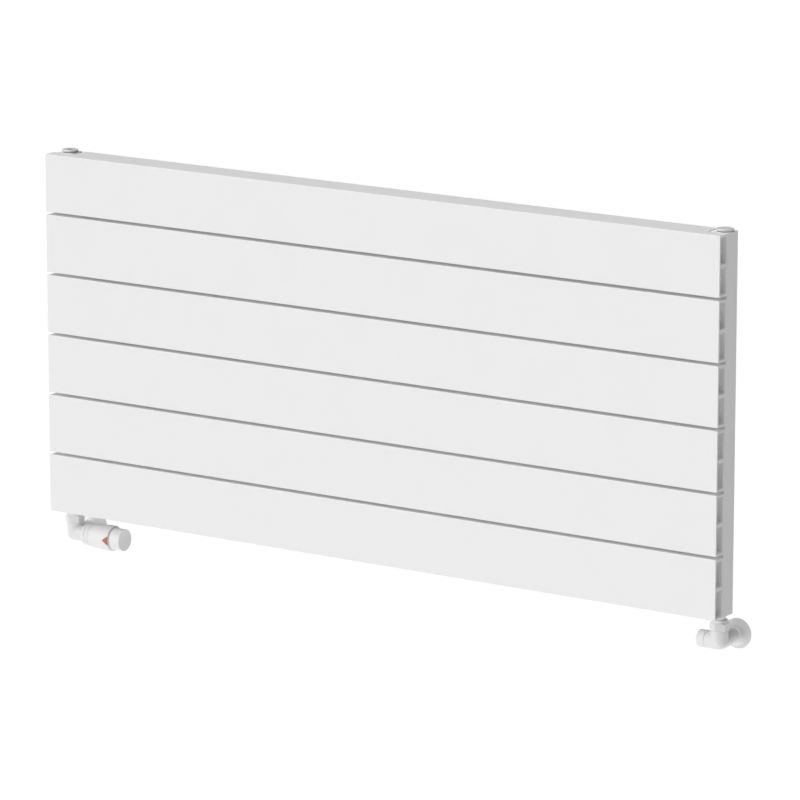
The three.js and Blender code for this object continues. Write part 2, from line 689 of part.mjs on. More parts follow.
// The brass bonnet screwed into the sideways leg, with the neck that carries the cap.
function makeBonnet() {
  const bonnet = turned([
    [0, BONNET.start],
    [BONNET.radius, BONNET.start],
    [BONNET.radius, LOCK_LEG.end + CLEAR],
    [BONNET.neck, LOCK_LEG.end + CLEAR],
    [BONNET.neck, BONNET.neckEnd],
    [0, BONNET.neckEnd],
  ], '-X');
  const bore = rod(BONNET.bore, BONNET.start - 1, BONNET.neckEnd + 1, '-X', COARSE);
  return grooved(bonnet.subtract(bore), BONNET_GROOVE_AT, '-X');
}

// The adjusting spindle, with a hexagon socket outside and a thin tip inside the plug.
function makeLockSpindle() {
  const spindle = turned([
    [0, LOCK_SPINDLE.tipStart],
    [LOCK_SPINDLE.tip, LOCK_SPINDLE.tipStart],
    [LOCK_SPINDLE.tip, LOCK_SPINDLE.start],
    [LOCK_SPINDLE.radius, LOCK_SPINDLE.start],
    [LOCK_SPINDLE.radius, LOCK_SPINDLE.end],
    [0, LOCK_SPINDLE.end],
  ], '-X', COARSE);
  const socketStart = LOCK_SPINDLE.end - LOCK_SPINDLE.depth;
  return spindle.subtract(rod(LOCK_SPINDLE.socket, socketStart, LOCK_SPINDLE.end + 1, '-X', 6));
}

// The regulating plug: a cup that slides on the spindle's tip, towards and away from the seat.
function makeLockPlug() {
  return turned([
    [0, LOCK_PLUG.start],
    [LOCK_PLUG.radius, LOCK_PLUG.start],
    [LOCK_PLUG.radius, LOCK_PLUG.end],
    [LOCK_PLUG.bore, LOCK_PLUG.end],
    [LOCK_PLUG.bore, LOCK_PLUG.boreStart],
    [0, LOCK_PLUG.boreStart],
  ], '-X', COARSE);
}

// A plain cap with a rounded end that pulls off the bonnet's neck.
function makeLockCap() {
  const round = LOCK_CAP.round;
  const centre = [LOCK_CAP.radius - round, LOCK_CAP.end - round];
  return turned([
    [LOCK_CAP.bore, LOCK_CAP.start],
    [LOCK_CAP.radius, LOCK_CAP.start],
    ...arc(centre, round, round, 0, Math.PI / 2, 3),
    [0, LOCK_CAP.end],
    [0, LOCK_CAP.boreEnd],
    [LOCK_CAP.bore, LOCK_CAP.boreEnd],
  ], '-X', FINE);
}

function addLockshieldValve(model) {
  const valve = groupAt(model, RIGHT_X, VALVE.y, VALVE.z);
  const body = makeValveBody('-X', VALVE.radius, LOCK_LEG.end, LOCK_LEG.chamber);
  addPart(valve, 'lockshield_body', body, WHITE_COAT);
  addValveConnections(valve, 'lockshield');
  addPart(valve, 'lockshield_bonnet', makeBonnet(), BRASS);
  addPart(valve, 'lockshield_bonnet_seal', makeGrooveRing(BONNET_GROOVE_AT, '-X'), RUBBER);
  addPart(valve, 'lockshield_spindle', makeLockSpindle(), BRASS);
  addPart(valve, 'lockshield_plug', makeLockPlug(), BRASS);
  addPart(valve, 'lockshield_cap', makeLockCap(), WHITE_PLASTIC);
}

// ---------------------------------------------------------------- the whole radiator

function addHeatingBody(model) {
  for (let i = 0; i < PANEL.count; i += 1) {
    const number = i + 1; // 1 is the top panel
    const level = groupAt(model, 0, 0, HEIGHT - PANEL.height - i * PITCH);
    addPart(level, `panel_${number}`, makePanel(), WHITE_COAT);
    addPart(level, `end_cap_left_${number}`, makeEndCap(-1), WHITE_COAT);
    addPart(level, `end_cap_right_${number}`, makeEndCap(1), WHITE_COAT);
  }
  const left = groupAt(model, LEFT_X, 0, 0);
  const right = groupAt(model, RIGHT_X, 0, 0);
  addPart(left, 'collector_left', makeCollector(-1), WHITE_COAT);
  addPart(right, 'collector_right', makeCollector(1), WHITE_COAT);
}

function addTopPlugs(model) {
  const left = groupAt(model, LEFT_X, VALVE.y, HEIGHT);
  addPart(left, 'air_vent_plug', makeAirVentPlug(), WHITE_COAT);
  addPart(left, 'air_vent_seal', makeGasket(), RUBBER);
  addPart(left, 'bleed_screw', makeBleedScrew(), BRASS);
  const right = groupAt(model, RIGHT_X, VALVE.y, HEIGHT);
  addPart(right, 'blanking_plug', makePlug(), WHITE_COAT);
  addPart(right, 'blanking_plug_seal', makeGasket(), RUBBER);
}

function addWallFixings(model) {
  for (const [end, side] of [['left', -1], ['right', 1]]) {
    const high = groupAt(model, side * BRACKET_X, 0, HEIGHT - PANEL.height);
    addPart(high, `hanger_${end}`, makeHanger(), STEEL);
    addPart(high, `wall_bracket_${end}`, makeWallBracket(), STEEL);
    const low = groupAt(model, side * BRACKET_X, 0, SPACER.z);
    addPart(low, `spacer_${end}`, makeSpacer(), WHITE_PLASTIC);
  }
}

const model = new THREE.Group();
model.name = 'radiator_with_valve';
addHeatingBody(model);
addTopPlugs(model);
addWallFixings(model);
addThermostaticValve(model);
addLockshieldValve(model);

export default model;
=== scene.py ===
import json
import math

import bmesh
import bpy
from mathutils import Matrix, Vector


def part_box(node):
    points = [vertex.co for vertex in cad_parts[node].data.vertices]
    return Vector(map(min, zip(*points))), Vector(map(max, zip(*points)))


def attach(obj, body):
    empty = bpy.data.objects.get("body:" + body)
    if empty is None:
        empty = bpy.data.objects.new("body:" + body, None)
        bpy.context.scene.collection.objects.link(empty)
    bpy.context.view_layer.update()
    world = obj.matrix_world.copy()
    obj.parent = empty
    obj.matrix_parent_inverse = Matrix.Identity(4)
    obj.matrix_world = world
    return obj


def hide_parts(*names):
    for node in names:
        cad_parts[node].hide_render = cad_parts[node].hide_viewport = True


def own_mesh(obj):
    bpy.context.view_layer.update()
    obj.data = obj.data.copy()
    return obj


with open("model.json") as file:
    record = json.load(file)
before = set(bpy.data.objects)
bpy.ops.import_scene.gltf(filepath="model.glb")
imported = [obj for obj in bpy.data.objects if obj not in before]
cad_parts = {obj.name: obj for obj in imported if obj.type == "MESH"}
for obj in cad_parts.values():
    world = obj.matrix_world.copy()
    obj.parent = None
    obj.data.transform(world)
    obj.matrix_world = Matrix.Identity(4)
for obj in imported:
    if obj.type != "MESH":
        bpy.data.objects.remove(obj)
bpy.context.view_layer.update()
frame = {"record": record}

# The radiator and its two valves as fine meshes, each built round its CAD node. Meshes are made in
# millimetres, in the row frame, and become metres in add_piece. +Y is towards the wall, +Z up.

MM = 0.001

# ---------------- driving dimensions, in millimetres

PANEL_COUNT = 6
SIDES = {"left": -1, "right": 1}
UP = Vector((0, 0, 1))
BACK = Vector((0, 1, 0))
RIGHT = Vector((1, 0, 0))
LEFT = Vector((-1, 0, 0))

PANEL = {"wall": 1.6, "skin": 1.5, "edge": 0.7, "end_edge": 0.5, "inner_edge": 0.6}
WEB = {"thickness": 3, "end": 560, "edge": 0.01}
FIN = {"thickness": 1.5, "low": 12, "middle": 47, "edge": 0.35, "back": -44, "clear": 6.5}
PORT = {"radius": 4, "inward": 6}
END_CAP = {"length": 13.5, "gap": 0.3, "fit": 0.02, "edge": 0.58}
POCKET = {"rim": 1.7, "web": 5, "floor": 2, "corner": 1.6, "mouth": 0.4}
COLLECTOR = {"wall": 2, "end_block": 12, "bore": 10.5, "back_corner": 1.5, "edge": 0.4}

PLUG = {"thread": 10.2, "depth": 11, "flange": 12.6, "low": 1.1, "high": 4.3, "chamfer": 0.7}
GASKET = {"inner": 10.5, "outer": 11.8, "low": 0.3, "high": 0.8, "edge": 0.15}
VENT = {"recess": 4.4, "floor": 1.7, "hole": 2.6}
BLEED = {"shank": 2.2, "tip": 0.4, "tip_length": 1.8}
VENT_KEY = {"width": 5, "low": 2.0, "high": 4.0, "edge": 0.3, "corner": 0.5}

STRIP_EDGE = 0.35
HANGER = {"plate": 2.5, "lip": 12, "bend": 3.5}
BRACKET = {"plate": 3, "arm": 60, "top": 76, "bend": 3.5, "root_bend": 1.0, "lip_bend": 0.6}
SCREW_HOLE = {"radius": 3.3, "heights": (33, 69), "countersink": 0.5}
SPACER = {"head": 11, "head_length": 5, "shaft": 8, "foot": 14, "foot_length": 4}

VALVE = {"radius": 12.9, "up": 16.8, "back": 18, "spigot": 10.4, "spigot_end": 24.2}
WATERWAY = {"up": 6, "up_low": 6.8, "socket": 7.7, "socket_low": 9.5, "orifice": 4.5, "seat": -1}
WATERWAY_LINK = {"radius": 3, "inward": 4.5, "depth": 8}
TAIL = {"bore": 6.5, "neck": 8.75, "collar": 10.4, "low": 25.8, "step": 27.4, "top": 51.5, "lead": 1}
UNION_NUT = {"flats": 25.6, "low": 17.1, "hex_high": 28.2, "high": 32.8}
UNION_COLLAR = {"radius": 12.3, "waist": 11.9, "sunk": 2, "lip": 9.1, "lip_edge": 0.5, "mouth": 0.2}
UNION_NUT_THREAD = {"radius": 10.8, "high": 27.7, "lead": 0.5}
UNION_SEAL = {"inner": 6.8, "outer": 10.2, "low": 24.5, "high": 25.5, "edge": 0.2}
PIPE_NUT = {"radius": 11.7, "thread": 10.8, "start": 18.3, "shoulder": 31, "end": 39.3, "bore": 7.9}
OLIVE = {"start": 25, "end": 30.7, "inner": 7.7, "ends": 8.8, "crown": 9.9}
ROSETTE = {"length": 14, "neck": 12.8, "bore": 12, "rim": 22.75, "thickness": 1.5, "lip": 1.05}

TRV_LEG = {"radius": 12.5, "end": 18.8, "chamber": 8}
LOCK_LEG = {"radius": 12.9, "end": 19.8, "chamber": 7.9}
SEAL_RING = {"radius": 7.12, "section": 0.6, "groove": 6.2, "groove_half": 0.9}
INSERT = {"radius": 7.6, "start": 7.5, "ring": 15, "seat": 19.1, "flange": 10, "flange_end": 22.5}
INSERT_NECK = {"radius": 6, "end": 30.5, "bore": 1.95, "bore_start": 12.5}
SPINDLE = {"flange": 6.4, "start": 0.65, "flange_end": 3.15, "radius": 1.6, "end": 31.5}
SPRING = {"radius": 4.6, "wire": 0.5, "start": 3.75, "end": 12, "turns": 5, "steps": 40, "sides": 10}
HEAD_NUT = {"start": 19.1, "end": 28.2, "small": 14, "large": 16.9, "bore": 10.4}
HEAD_FLARE = {"end": 25.56, "power": 0.8, "shoulder": 1.1}
HEAD_BASE = {"start": 28.8, "radius": 17.6, "band_end": 35.7, "hole": 4, "bore": 6.4, "bore_end": 32.5}
HEAD_SLEEVE = {"radius": 14, "bore": 12.6, "floor": 38.5, "end": 62.5}
SENSOR = {"pin": 2.4, "start": 31.8, "shoulder": 42.5, "radius": 12, "end": 68.5}
HANDLE = {"start": 36.2, "end": 76, "small": 18, "large": 20.2, "bore": 14.4, "round": 1.4}
MARKER = {"tip": 66, "half_height": 7.5, "floor": 18.9, "proud": 0.12, "margin": 0.6}
MARKER_POCKET = {"floor": 18.6, "tip_round": 0.7}
HEAD_CAP = {"radius": 17.4, "end_radius": 17.2, "start": 77.8, "end": 96.4, "bore": 12.6, "floor": 93.4}
CAP_SLEEVE = {"radius": 14.1, "start": 64.5, "neck": 15.6, "neck_start": 76.3}
BONNET = {"radius": 7.5, "start": 8, "ring": 14, "seat": 20.1, "neck": 8, "end": 29, "bore": 4.3}
LOCK_SPINDLE = {"tip": 2.6, "start": 3.5, "shoulder": 9, "radius": 4, "end": 30.5}
LOCK_PLUG = {"radius": 5.8, "start": 0.65, "end": 6.6, "bore": 2.95, "floor": 2}
LOCK_CAP = {"start": 20.1, "end": 33.6, "radius": 13.1, "bore": 8.5, "bore_end": 30.9, "round": 2.2}
HEX_KEY = {"radius": 2.3, "depth": 5}

FINE = 192  # facets round the handle
SMOOTH = 96  # facets round a large turned piece
SMALL = 48  # facets round a hole or a small turned piece
ARC_SHARE = 0.49  # the most of a straight stretch that the arc at one end of it may take
CORNER_STEPS = 5
CURVE_STEPS = 24
BALL_STEPS = 32
RING_STEPS = 16
PAST = 1  # how far a cutting tool runs beyond the surface it cuts
VOXEL = {"body": 0.4, "nut": 0.3}
SMOOTHING = {"body": 8, "nut": 4}
ALMOST_SHARP = 0.02
TINY = 0.01  # shorter edges than this are slivers left by a boolean
SHARP_ANGLE = math.radians(38)

# ---------------- what the frame says

BODY_OF = {
    node: body
    for body, nodes in frame["record"]["behaviour"]["bodies"].items()
    for node in nodes
}


def node_box(node):
    """The lowest and highest corner of a CAD node, in millimetres."""
    low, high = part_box(node)
    return low / MM, high / MM


def node_centre(node):
    low, high = node_box(node)
    return (low + high) / 2


def valve_centre(prefix):
    """Where the three legs of a valve meet: level with its wall pipe and below its tailpiece."""
    pipe = node_centre(f"{prefix}_rosette")
    return Vector((pipe.x, node_centre(f"{prefix}_tailpiece").y, pipe.z))


# The back face of every panel's flat tube, along Y.
PANEL_BACK = node_box("end_cap_left_1")[1].y + END_CAP["gap"] + PANEL["wall"]

# ---------------- outlines


def eased(corners, steps=CORNER_STEPS):
    """A closed outline with arcs for corners. Each corner is (u, v) or (u, v, radius)."""
    points = [Vector(c[:2]) for c in corners]
    result = []
    for i, corner in enumerate(points):
        radius = corners[i][2] if len(corners[i]) > 2 else 0
        if not radius:
            result.append(corner)
            continue
        back = points[i - 1] - corner
        ahead = points[(i + 1) % len(points)] - corner
        bend = back.angle(ahead)
        most = ARC_SHARE * min(back.length, ahead.length)
        reach = min(radius / math.tan(bend / 2), most)
        radius = reach * math.tan(bend / 2)
        middle = (back.normalized() + ahead.normalized()).normalized()
        centre = corner + middle * math.hypot(reach, radius)
        start = corner + back.normalized() * reach - centre
        end = corner + ahead.normalized() * reach - centre
        sweep = math.copysign(math.pi - bend, start.x * end.y - start.y * end.x)
        angles = [sweep * k / steps for k in range(steps + 1)]
        result += [centre + Matrix.Rotation(angle, 2) @ start for angle in angles]
    return result


def rectangle(low, high, radii, inset=0.0):
    """A rounded rectangle, drawn in or let out by an even inset. radii starts at the lowest corner."""
    (u0, v0), (u1, v1) = low, high
    corners = [(u0 + inset, v0 + inset), (u1 - inset, v0 + inset)]
    corners += [(u1 - inset, v1 - inset), (u0 + inset, v1 - inset)]
    rounded = [max(r - inset, ALMOST_SHARP) for r in radii]
    return eased([(*c, r) for c, r in zip(corners, rounded)])


def arc(centre, radius, height, start, end, steps):
    """Points along an ellipse from one angle to another, in radians."""
    angles = [start + (end - start) * k / steps for k in range(steps + 1)]
    return [(centre[0] + radius * math.cos(a), centre[1] + height * math.sin(a)) for a in angles]


# ---------------- solids, as bmeshes


def along_x(y, z, x):
    return Vector((x, y, z))


def along_z(x, y, z):
    return Vector((x, y, z))


def skin(mesh, first, second):
    """Faces between two loops of vertices, either of which may be a single point."""
    count = max(len(first), len(second))
    if count == 1:
        return
    for i in range(count):
        j = (i + 1) % count
        ring = [first[i % len(first)], first[j % len(first)]]
        ring += [second[j % len(second)], second[i % len(second)]]
        mesh.faces.new(list(dict.fromkeys(ring)))


def outward(mesh):
    bmesh.ops.recalc_face_normals(mesh, faces=mesh.faces)
    return mesh


def loft(sections, place):
    """A closed solid through outlines of equal length. sections is a list of (height, outline)."""
    mesh = bmesh.new()
    loops = [[mesh.verts.new(place(u, v, height)) for u, v in line] for height, line in sections]
    for low, high in zip(loops, loops[1:]):
        skin(mesh, low, high)
    mesh.faces.new(loops[0])
    mesh.faces.new(loops[-1])
    return outward(mesh)


def prism(outline, low, high, place):
    return loft([(low, outline), (high, outline)], place)


def pillow(low, high, edge, steps=3):
    """(height, inset) pairs for a prism whose two ends have rounded edges."""
    angles = [math.pi / 2 * k / steps for k in range(steps + 1)]
    rise = [(edge * (1 - math.sin(a)), edge * (1 - math.cos(a))) for a in reversed(angles)]
    lower = [(low + h, i) for h, i in rise]
    upper = [(high - h, i) for h, i in reversed(rise)]
    return lower + upper


def turned(profile, centre, axis, facets=SMOOTH):
    """A turned solid. The profile's corners are (radius, distance along the axis, easing)."""
    side = axis.orthogonal().normalized()
    third = axis.cross(side)
    angles = [2 * math.pi * i / facets for i in range(facets)]
    spokes = [side * math.cos(a) + third * math.sin(a) for a in angles]
    mesh = bmesh.new()
    rings = []
    for radius, distance in eased(profile):
        middle = centre + axis * distance
        if radius < ALMOST_SHARP:
            rings.append([mesh.verts.new(middle)])
        else:
            rings.append([mesh.verts.new(middle + spoke * radius) for spoke in spokes])
    for first, second in zip(rings, rings[1:]):
        skin(mesh, first, second)
    if len(rings[0]) > 1:
        skin(mesh, rings[-1], rings[0])
    return outward(mesh)


def rod(radius, start, end, centre, axis, facets=SMALL):
    return turned([(0, start), (radius, start), (radius, end), (0, end)], centre, axis, facets)


def temporary(mesh):
    data = bpy.data.meshes.new("temporary")
    mesh.to_mesh(data)
    mesh.free()
    obj = bpy.data.objects.new("temporary", data)
    bpy.context.scene.collection.objects.link(obj)
    return obj


def applied(obj, helpers=()):
    """The object's mesh with its modifiers applied. The object and its helpers are removed."""
    bpy.context.view_layer.update()
    result = bmesh.new()
    result.from_object(obj, bpy.context.evaluated_depsgraph_get())
    for used in (obj, *helpers):
        bpy.data.meshes.remove(used.data)
    return result


def combine(operation, base, tools):
    target = temporary(base)
    helpers = [temporary(tool) for tool in tools]
    for helper in helpers:
        modifier = target.modifiers.new("combine", "BOOLEAN")
        modifier.operation = operation
        modifier.solver = "EXACT"
        modifier.object = helper
    result = applied(target, helpers)
    bmesh.ops.dissolve_degenerate(result, dist=TINY, edges=result.edges)
    return result


def join(base, *tools):
    return combine("UNION", base, tools)


def cut(base, *tools):
    return combine("DIFFERENCE", base, tools)


def share(base, *tools):
    return combine("INTERSECT", base, tools)


def cast(parts, voxel, smoothing):
    """Overlapping solids melted into one skin with soft edges and creases, as in a casting."""
    whole = bmesh.new()
    for part in parts:
        data = bpy.data.meshes.new("part")
        part.to_mesh(data)
        part.free()
        whole.from_mesh(data)
        bpy.data.meshes.remove(data)
    target = temporary(whole)
    remesh = target.modifiers.new("remesh", "REMESH")
    remesh.mode = "VOXEL"
    remesh.voxel_size = voxel
    smooth = target.modifiers.new("smooth", "SMOOTH")
    smooth.factor = 0.5
    smooth.iterations = smoothing
    return applied(target)


def soften(mesh, width, segments=3):
    """Rounds every edge that turns sharply."""
    sharp = [e for e in mesh.edges if e.is_manifold and e.calc_face_angle() > SHARP_ANGLE]
    bmesh.ops.bevel(
        mesh, geom=sharp, offset=width, offset_type="OFFSET", segments=segments,
        profile=0.5, affect="EDGES", clamp_overlap=True,
    )
    return mesh


# ---------------- materials


# Sizes of noise are in features per metre, and depths in metres.
NOISE_RANGE = (0.3, 0.7)  # almost all of a noise's values lie between these
COATING = {"mottle": 14, "dark": 0.994, "light": 1.004, "gloss": 60, "ior": 1.5}
TURNED = {"tarnish": 90, "ring_depth": 0.000012, "pits": 700, "pit_depth": 0.000006}
ZINC = {"crystals": 240, "dark": 0.86, "light": 1.05, "cloud": 110, "gloss": (0.34, 0.52), "metallic": 0.9}
ROLLED = {"lines": (2600, 90, 90), "depth": 0.00001, "pits": 1500, "pit_depth": 0.000008}


class Shader:
    """A new material with short ways to add and link its nodes."""

    def __init__(self, name):
        self.material = bpy.data.materials.new(name)
        self.material.use_nodes = True
        self.nodes = self.material.node_tree.nodes
        self.surface = self.nodes["Principled BSDF"]

    def link(self, output, socket):
        self.material.node_tree.links.new(output, socket)

    def place(self, scale):
        """The object's own coordinates in metres, scaled along each axis."""
        coordinates = self.nodes.new("ShaderNodeTexCoord")
        mapping = self.nodes.new("ShaderNodeMapping")
        mapping.inputs["Scale"].default_value = scale
        self.link(coordinates.outputs["Object"], mapping.inputs["Vector"])
        return mapping.outputs["Vector"]

    def noise(self, scale, detail=3.0, roughness=0.5, stretch=(1, 1, 1)):
        texture = self.nodes.new("ShaderNodeTexNoise")
        texture.inputs["Scale"].default_value = scale
        texture.inputs["Detail"].default_value = detail
        texture.inputs["Roughness"].default_value = roughness
        self.link(self.place(stretch), texture.inputs["Vector"])
        return texture.outputs["Fac"]

    def spread(self, value, low, high):
        """A noise value spread over a range of numbers."""
        node = self.nodes.new("ShaderNodeMapRange")
        node.inputs["From Min"].default_value = NOISE_RANGE[0]
        node.inputs["From Max"].default_value = NOISE_RANGE[1]
        node.inputs["To Min"].default_value = low
        node.inputs["To Max"].default_value = high
        self.link(value, node.inputs["Value"])
        return node.outputs["Result"]

    def colours(self, value, first, second):
        ramp = self.nodes.new("ShaderNodeValToRGB")
        for stop, position, colour in zip(ramp.color_ramp.elements, NOISE_RANGE, (first, second)):
            stop.position = position
            stop.color = (*colour, 1)
        self.link(value, ramp.inputs["Fac"])
        self.link(ramp.outputs["Color"], self.surface.inputs["Base Color"])

    def relief(self, layers):
        """Bumps on bumps. Each layer is (height value, height in metres, strength)."""
        below = None
        for height, distance, strength in layers:
            bump = self.nodes.new("ShaderNodeBump")
            bump.inputs["Distance"].default_value = distance
            bump.inputs["Strength"].default_value = strength
            self.link(height, bump.inputs["Height"])
            if below:
                self.link(below, bump.inputs["Normal"])
            below = bump.outputs["Normal"]
        self.link(below, self.surface.inputs["Normal"])


def shade(colour, factor):
    return tuple(c * factor for c in colour)


def coating(name, colour, gloss, ripple, grain):
    """A sprayed or moulded finish: faint mottling, uneven gloss, orange peel and fine grain.
    ripple and grain are (features, depth)."""
    look = Shader(name)
    dark, light = shade(colour, COATING["dark"]), shade(colour, COATING["light"])
    look.colours(look.noise(COATING["mottle"], detail=2), dark, light)
    look.link(look.spread(look.noise(COATING["gloss"]), *gloss), look.surface.inputs["Roughness"])
    look.relief([
        (look.noise(ripple[0], detail=1), ripple[1], 1.0),
        (look.noise(grain[0], detail=4, roughness=0.6), grain[1], 1.0),
    ])
    look.surface.inputs["IOR"].default_value = COATING["ior"]
    return look.material


def turned_metal(name, colour, gloss, stretch, tarnish):
    """Bare metal with the fine rings or lines that cutting and grinding leave."""
    look = Shader(name)
    look.colours(look.noise(TURNED["tarnish"], detail=4), shade(colour, tarnish), colour)
    lines = look.noise(1.0, detail=4, roughness=0.7, stretch=stretch)
    look.link(look.spread(lines, *gloss), look.surface.inputs["Roughness"])
    pits = look.noise(TURNED["pits"], detail=3)
    look.relief([(lines, TURNED["ring_depth"], 0.8), (pits, TURNED["pit_depth"], 0.5)])
    look.surface.inputs["Metallic"].default_value = 1.0
    return look.material


def zinc_plate(name, colour):
    """Pressed steel under a thin zinc layer: soft crystals and a cloudy gloss."""
    look = Shader(name)
    crystals = look.noise(ZINC["crystals"], detail=5, roughness=0.65)
    look.colours(crystals, shade(colour, ZINC["dark"]), shade(colour, ZINC["light"]))
    cloud = look.noise(ZINC["cloud"], detail=4)
    look.link(look.spread(cloud, *ZINC["gloss"]), look.surface.inputs["Roughness"])
    rolled = look.noise(1.0, detail=3, stretch=ROLLED["lines"])
    pits = look.noise(ROLLED["pits"])
    look.relief([(rolled, ROLLED["depth"], 0.6), (pits, ROLLED["pit_depth"], 0.6)])
    look.surface.inputs["Metallic"].default_value = ZINC["metallic"]
    return look.material


RINGS_PER_METRE = 5200
AROUND = 130
LOOKS = {
    "panel_enamel": coating(
        "panel_powder_coat", (0.80, 0.80, 0.798), (0.42, 0.50), (560, 0.00005), (2600, 0.000012)
    ),
    "fitting_enamel": coating(
        "fitting_enamel", (0.83, 0.83, 0.827), (0.34, 0.42), (700, 0.00003), (3200, 0.000006)
    ),
    # A darker copy of the fitting enamel for the two top plugs. Its colour holds painted shade, standing
    # in for the shadow and dark lines round their small flanges.
    "plug_enamel_painted_shade": coating(
        "plug_enamel_painted_shade", (0.70, 0.70, 0.698), (0.34, 0.42), (700, 0.00003), (3200, 0.000006)
    ),
    "white_plastic": coating(
        "moulded_white_plastic", (0.84, 0.84, 0.836), (0.36, 0.44), (420, 0.00001), (5200, 0.00001)
    ),
    "red_plastic": coating(
        "moulded_red_plastic", (0.53, 0.16, 0.10), (0.40, 0.48), (420, 0.00001), (5200, 0.00001)
    ),
    "grey_plastic": coating(
        "moulded_grey_plastic", (0.26, 0.27, 0.28), (0.52, 0.62), (420, 0.00001), (4200, 0.00002)
    ),
    "rubber": coating(
        "seal_rubber", (0.02, 0.02, 0.02), (0.62, 0.76), (900, 0.00002), (6000, 0.00002)
    ),
    "brass_x": turned_metal(
        "turned_brass_x", (0.62, 0.44, 0.17), (0.22, 0.38), (RINGS_PER_METRE, AROUND, AROUND), 0.82
    ),
    "brass_y": turned_metal(
        "turned_brass_y", (0.62, 0.44, 0.17), (0.22, 0.38), (AROUND, RINGS_PER_METRE, AROUND), 0.82
    ),
    "plated_brass": turned_metal(
        "nickel_plated_brass", (0.70, 0.69, 0.66), (0.24, 0.36), (AROUND, AROUND, RINGS_PER_METRE), 0.92
    ),
    "stainless_steel": turned_metal(
        "ground_stainless", (0.56, 0.56, 0.57), (0.2, 0.34), (RINGS_PER_METRE, AROUND, AROUND), 0.92
    ),
    "zinc_steel": zinc_plate("zinc_plated_steel", (0.60, 0.61, 0.62)),
}


# ---------------- finished pieces


def add_piece(node, mesh, slot, look=None):
    """Turns a bmesh in millimetres into the piece that stands for a CAD node."""
    bmesh.ops.scale(mesh, vec=(MM, MM, MM), verts=mesh.verts)
    data = bpy.data.meshes.new(f"{node}_detailed")
    mesh.to_mesh(data)
    mesh.free()
    data.materials.clear()
    data.materials.append(LOOKS[look or slot])
    data.shade_smooth()
    data.set_sharp_from_angle(angle=SHARP_ANGLE)
    obj = bpy.data.objects.new(f"{node}_detailed", data)
    bpy.context.scene.collection.objects.link(obj)
    normals = obj.modifiers.new("even_normals", "WEIGHTED_NORMAL")
    normals.keep_sharp = True
    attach(obj, BODY_OF[node])
    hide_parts(node)
    return obj


def shifted(mesh, offset):
    copy = mesh.copy()
    bmesh.ops.translate(copy, vec=offset, verts=copy.verts)
    return copy


# ---------------- panels and their ends


def panel_mesh():
    """The lowest panel: a flat tube with a web along its middle and three fins on its back."""
    low, high = node_box(f"panel_{PANEL_COUNT}")
    section = (low.y, low.z), (PANEL_BACK, high.z)
    edge = PANEL["edge"]
    radii = (edge, edge, ALMOST_SHARP, edge)
    ends = pillow(low.x, high.x, PANEL["end_edge"])
    tube = loft([(x, rectangle(*section, radii, inset)) for x, inset in ends], along_x)
    wall, skin_depth = PANEL["wall"], PANEL["skin"]
    inside = (low.y + wall, low.z + skin_depth), (PANEL_BACK - wall, high.z - skin_depth)
    hollow = rectangle(*inside, (PANEL["inner_edge"],) * 4)
    tube = cut(tube, prism(hollow, low.x - PAST, high.x + PAST, along_x))
    middle = (low.z + high.z) / 2
    half_web = WEB["thickness"] / 2
    front, root = low.y + wall / 2, PANEL_BACK - wall / 2
    web = rectangle((front, middle - half_web), (root, middle + half_web), (WEB["edge"],) * 4)
    tube = join(tube, prism(web, -WEB["end"], WEB["end"], along_x), *fins(low, high, root))
    start, end = PANEL_BACK - wall * 2, PANEL_BACK + PAST
    return cut(tube, *[port(name, middle, start, end) for name in SIDES])


def fins(low, high, root):
    """Each fin starts inside the back wall and runs between the two collectors."""
    start = node_box("collector_left")[1].x + FIN["clear"]
    end = node_box("collector_right")[0].x - FIN["clear"]
    edge = FIN["edge"]
    thickness = FIN["thickness"]
    made = []
    for bottom, tip in (
        (high.z - low.z - thickness, high.y),
        (FIN["low"], FIN["back"]),
        (FIN["middle"], FIN["back"]),
    ):
        corners = (root, low.z + bottom), (tip, low.z + bottom + thickness)
        radii = (ALMOST_SHARP, edge, edge, ALMOST_SHARP)
        sections = [(x, rectangle(*corners, radii, inset)) for x, inset in pillow(start, end, edge, 2)]
        made.append(loft(sections, along_x))
    return made


def port(side_name, height, start, end):
    """The water's way between a panel and a collector, a little inward of the collector's axis."""
    x = node_centre(f"collector_{side_name}").x - SIDES[side_name] * PORT["inward"]
    return rod(PORT["radius"], start, end, Vector((x, 0, height)), BACK)


def end_cap_mesh(side):
    """The insert that closes an end of the lowest panel, with a pocket over each chamber."""
    panel_low, panel_high = node_box(f"panel_{PANEL_COUNT}")
    wall, skin_depth = PANEL["wall"] + END_CAP["fit"], PANEL["skin"] + END_CAP["fit"]
    low = (panel_low.y + wall, panel_low.z + skin_depth)
    high = (PANEL_BACK - wall, panel_high.z - skin_depth)
    outer = side * panel_high.x
    inner = outer - side * END_CAP["length"]
    section = rectangle(low, high, (END_CAP["edge"],) * 4)
    body = prism(section, min(outer, inner), max(outer, inner), along_x)
    middle = (panel_low.z + panel_high.z) / 2
    half_web = POCKET["web"] / 2
    rim = POCKET["rim"]
    floor = inner + side * POCKET["floor"]
    ease = POCKET["mouth"]
    rounding = pillow(0, 2 * ease, ease)
    mouth = rounding[:len(rounding) // 2]
    pockets = []
    for bottom, top in ((low[1] + rim, middle - half_web), (middle + half_web, high[1] - rim)):
        corners = (low[0] + rim, bottom), (high[0] - rim, top)
        depths = [(floor, ease), (floor + side * ease, 0.0)]
        depths += [(outer - side * h, -i) for h, i in reversed(mouth)]
        depths += [(outer + side * PAST, -ease)]
        radii = (POCKET["corner"],) * 4
        pockets.append(loft([(x, rectangle(*corners, radii, inset)) for x, inset in depths], along_x))
    return cut(body, *pockets)


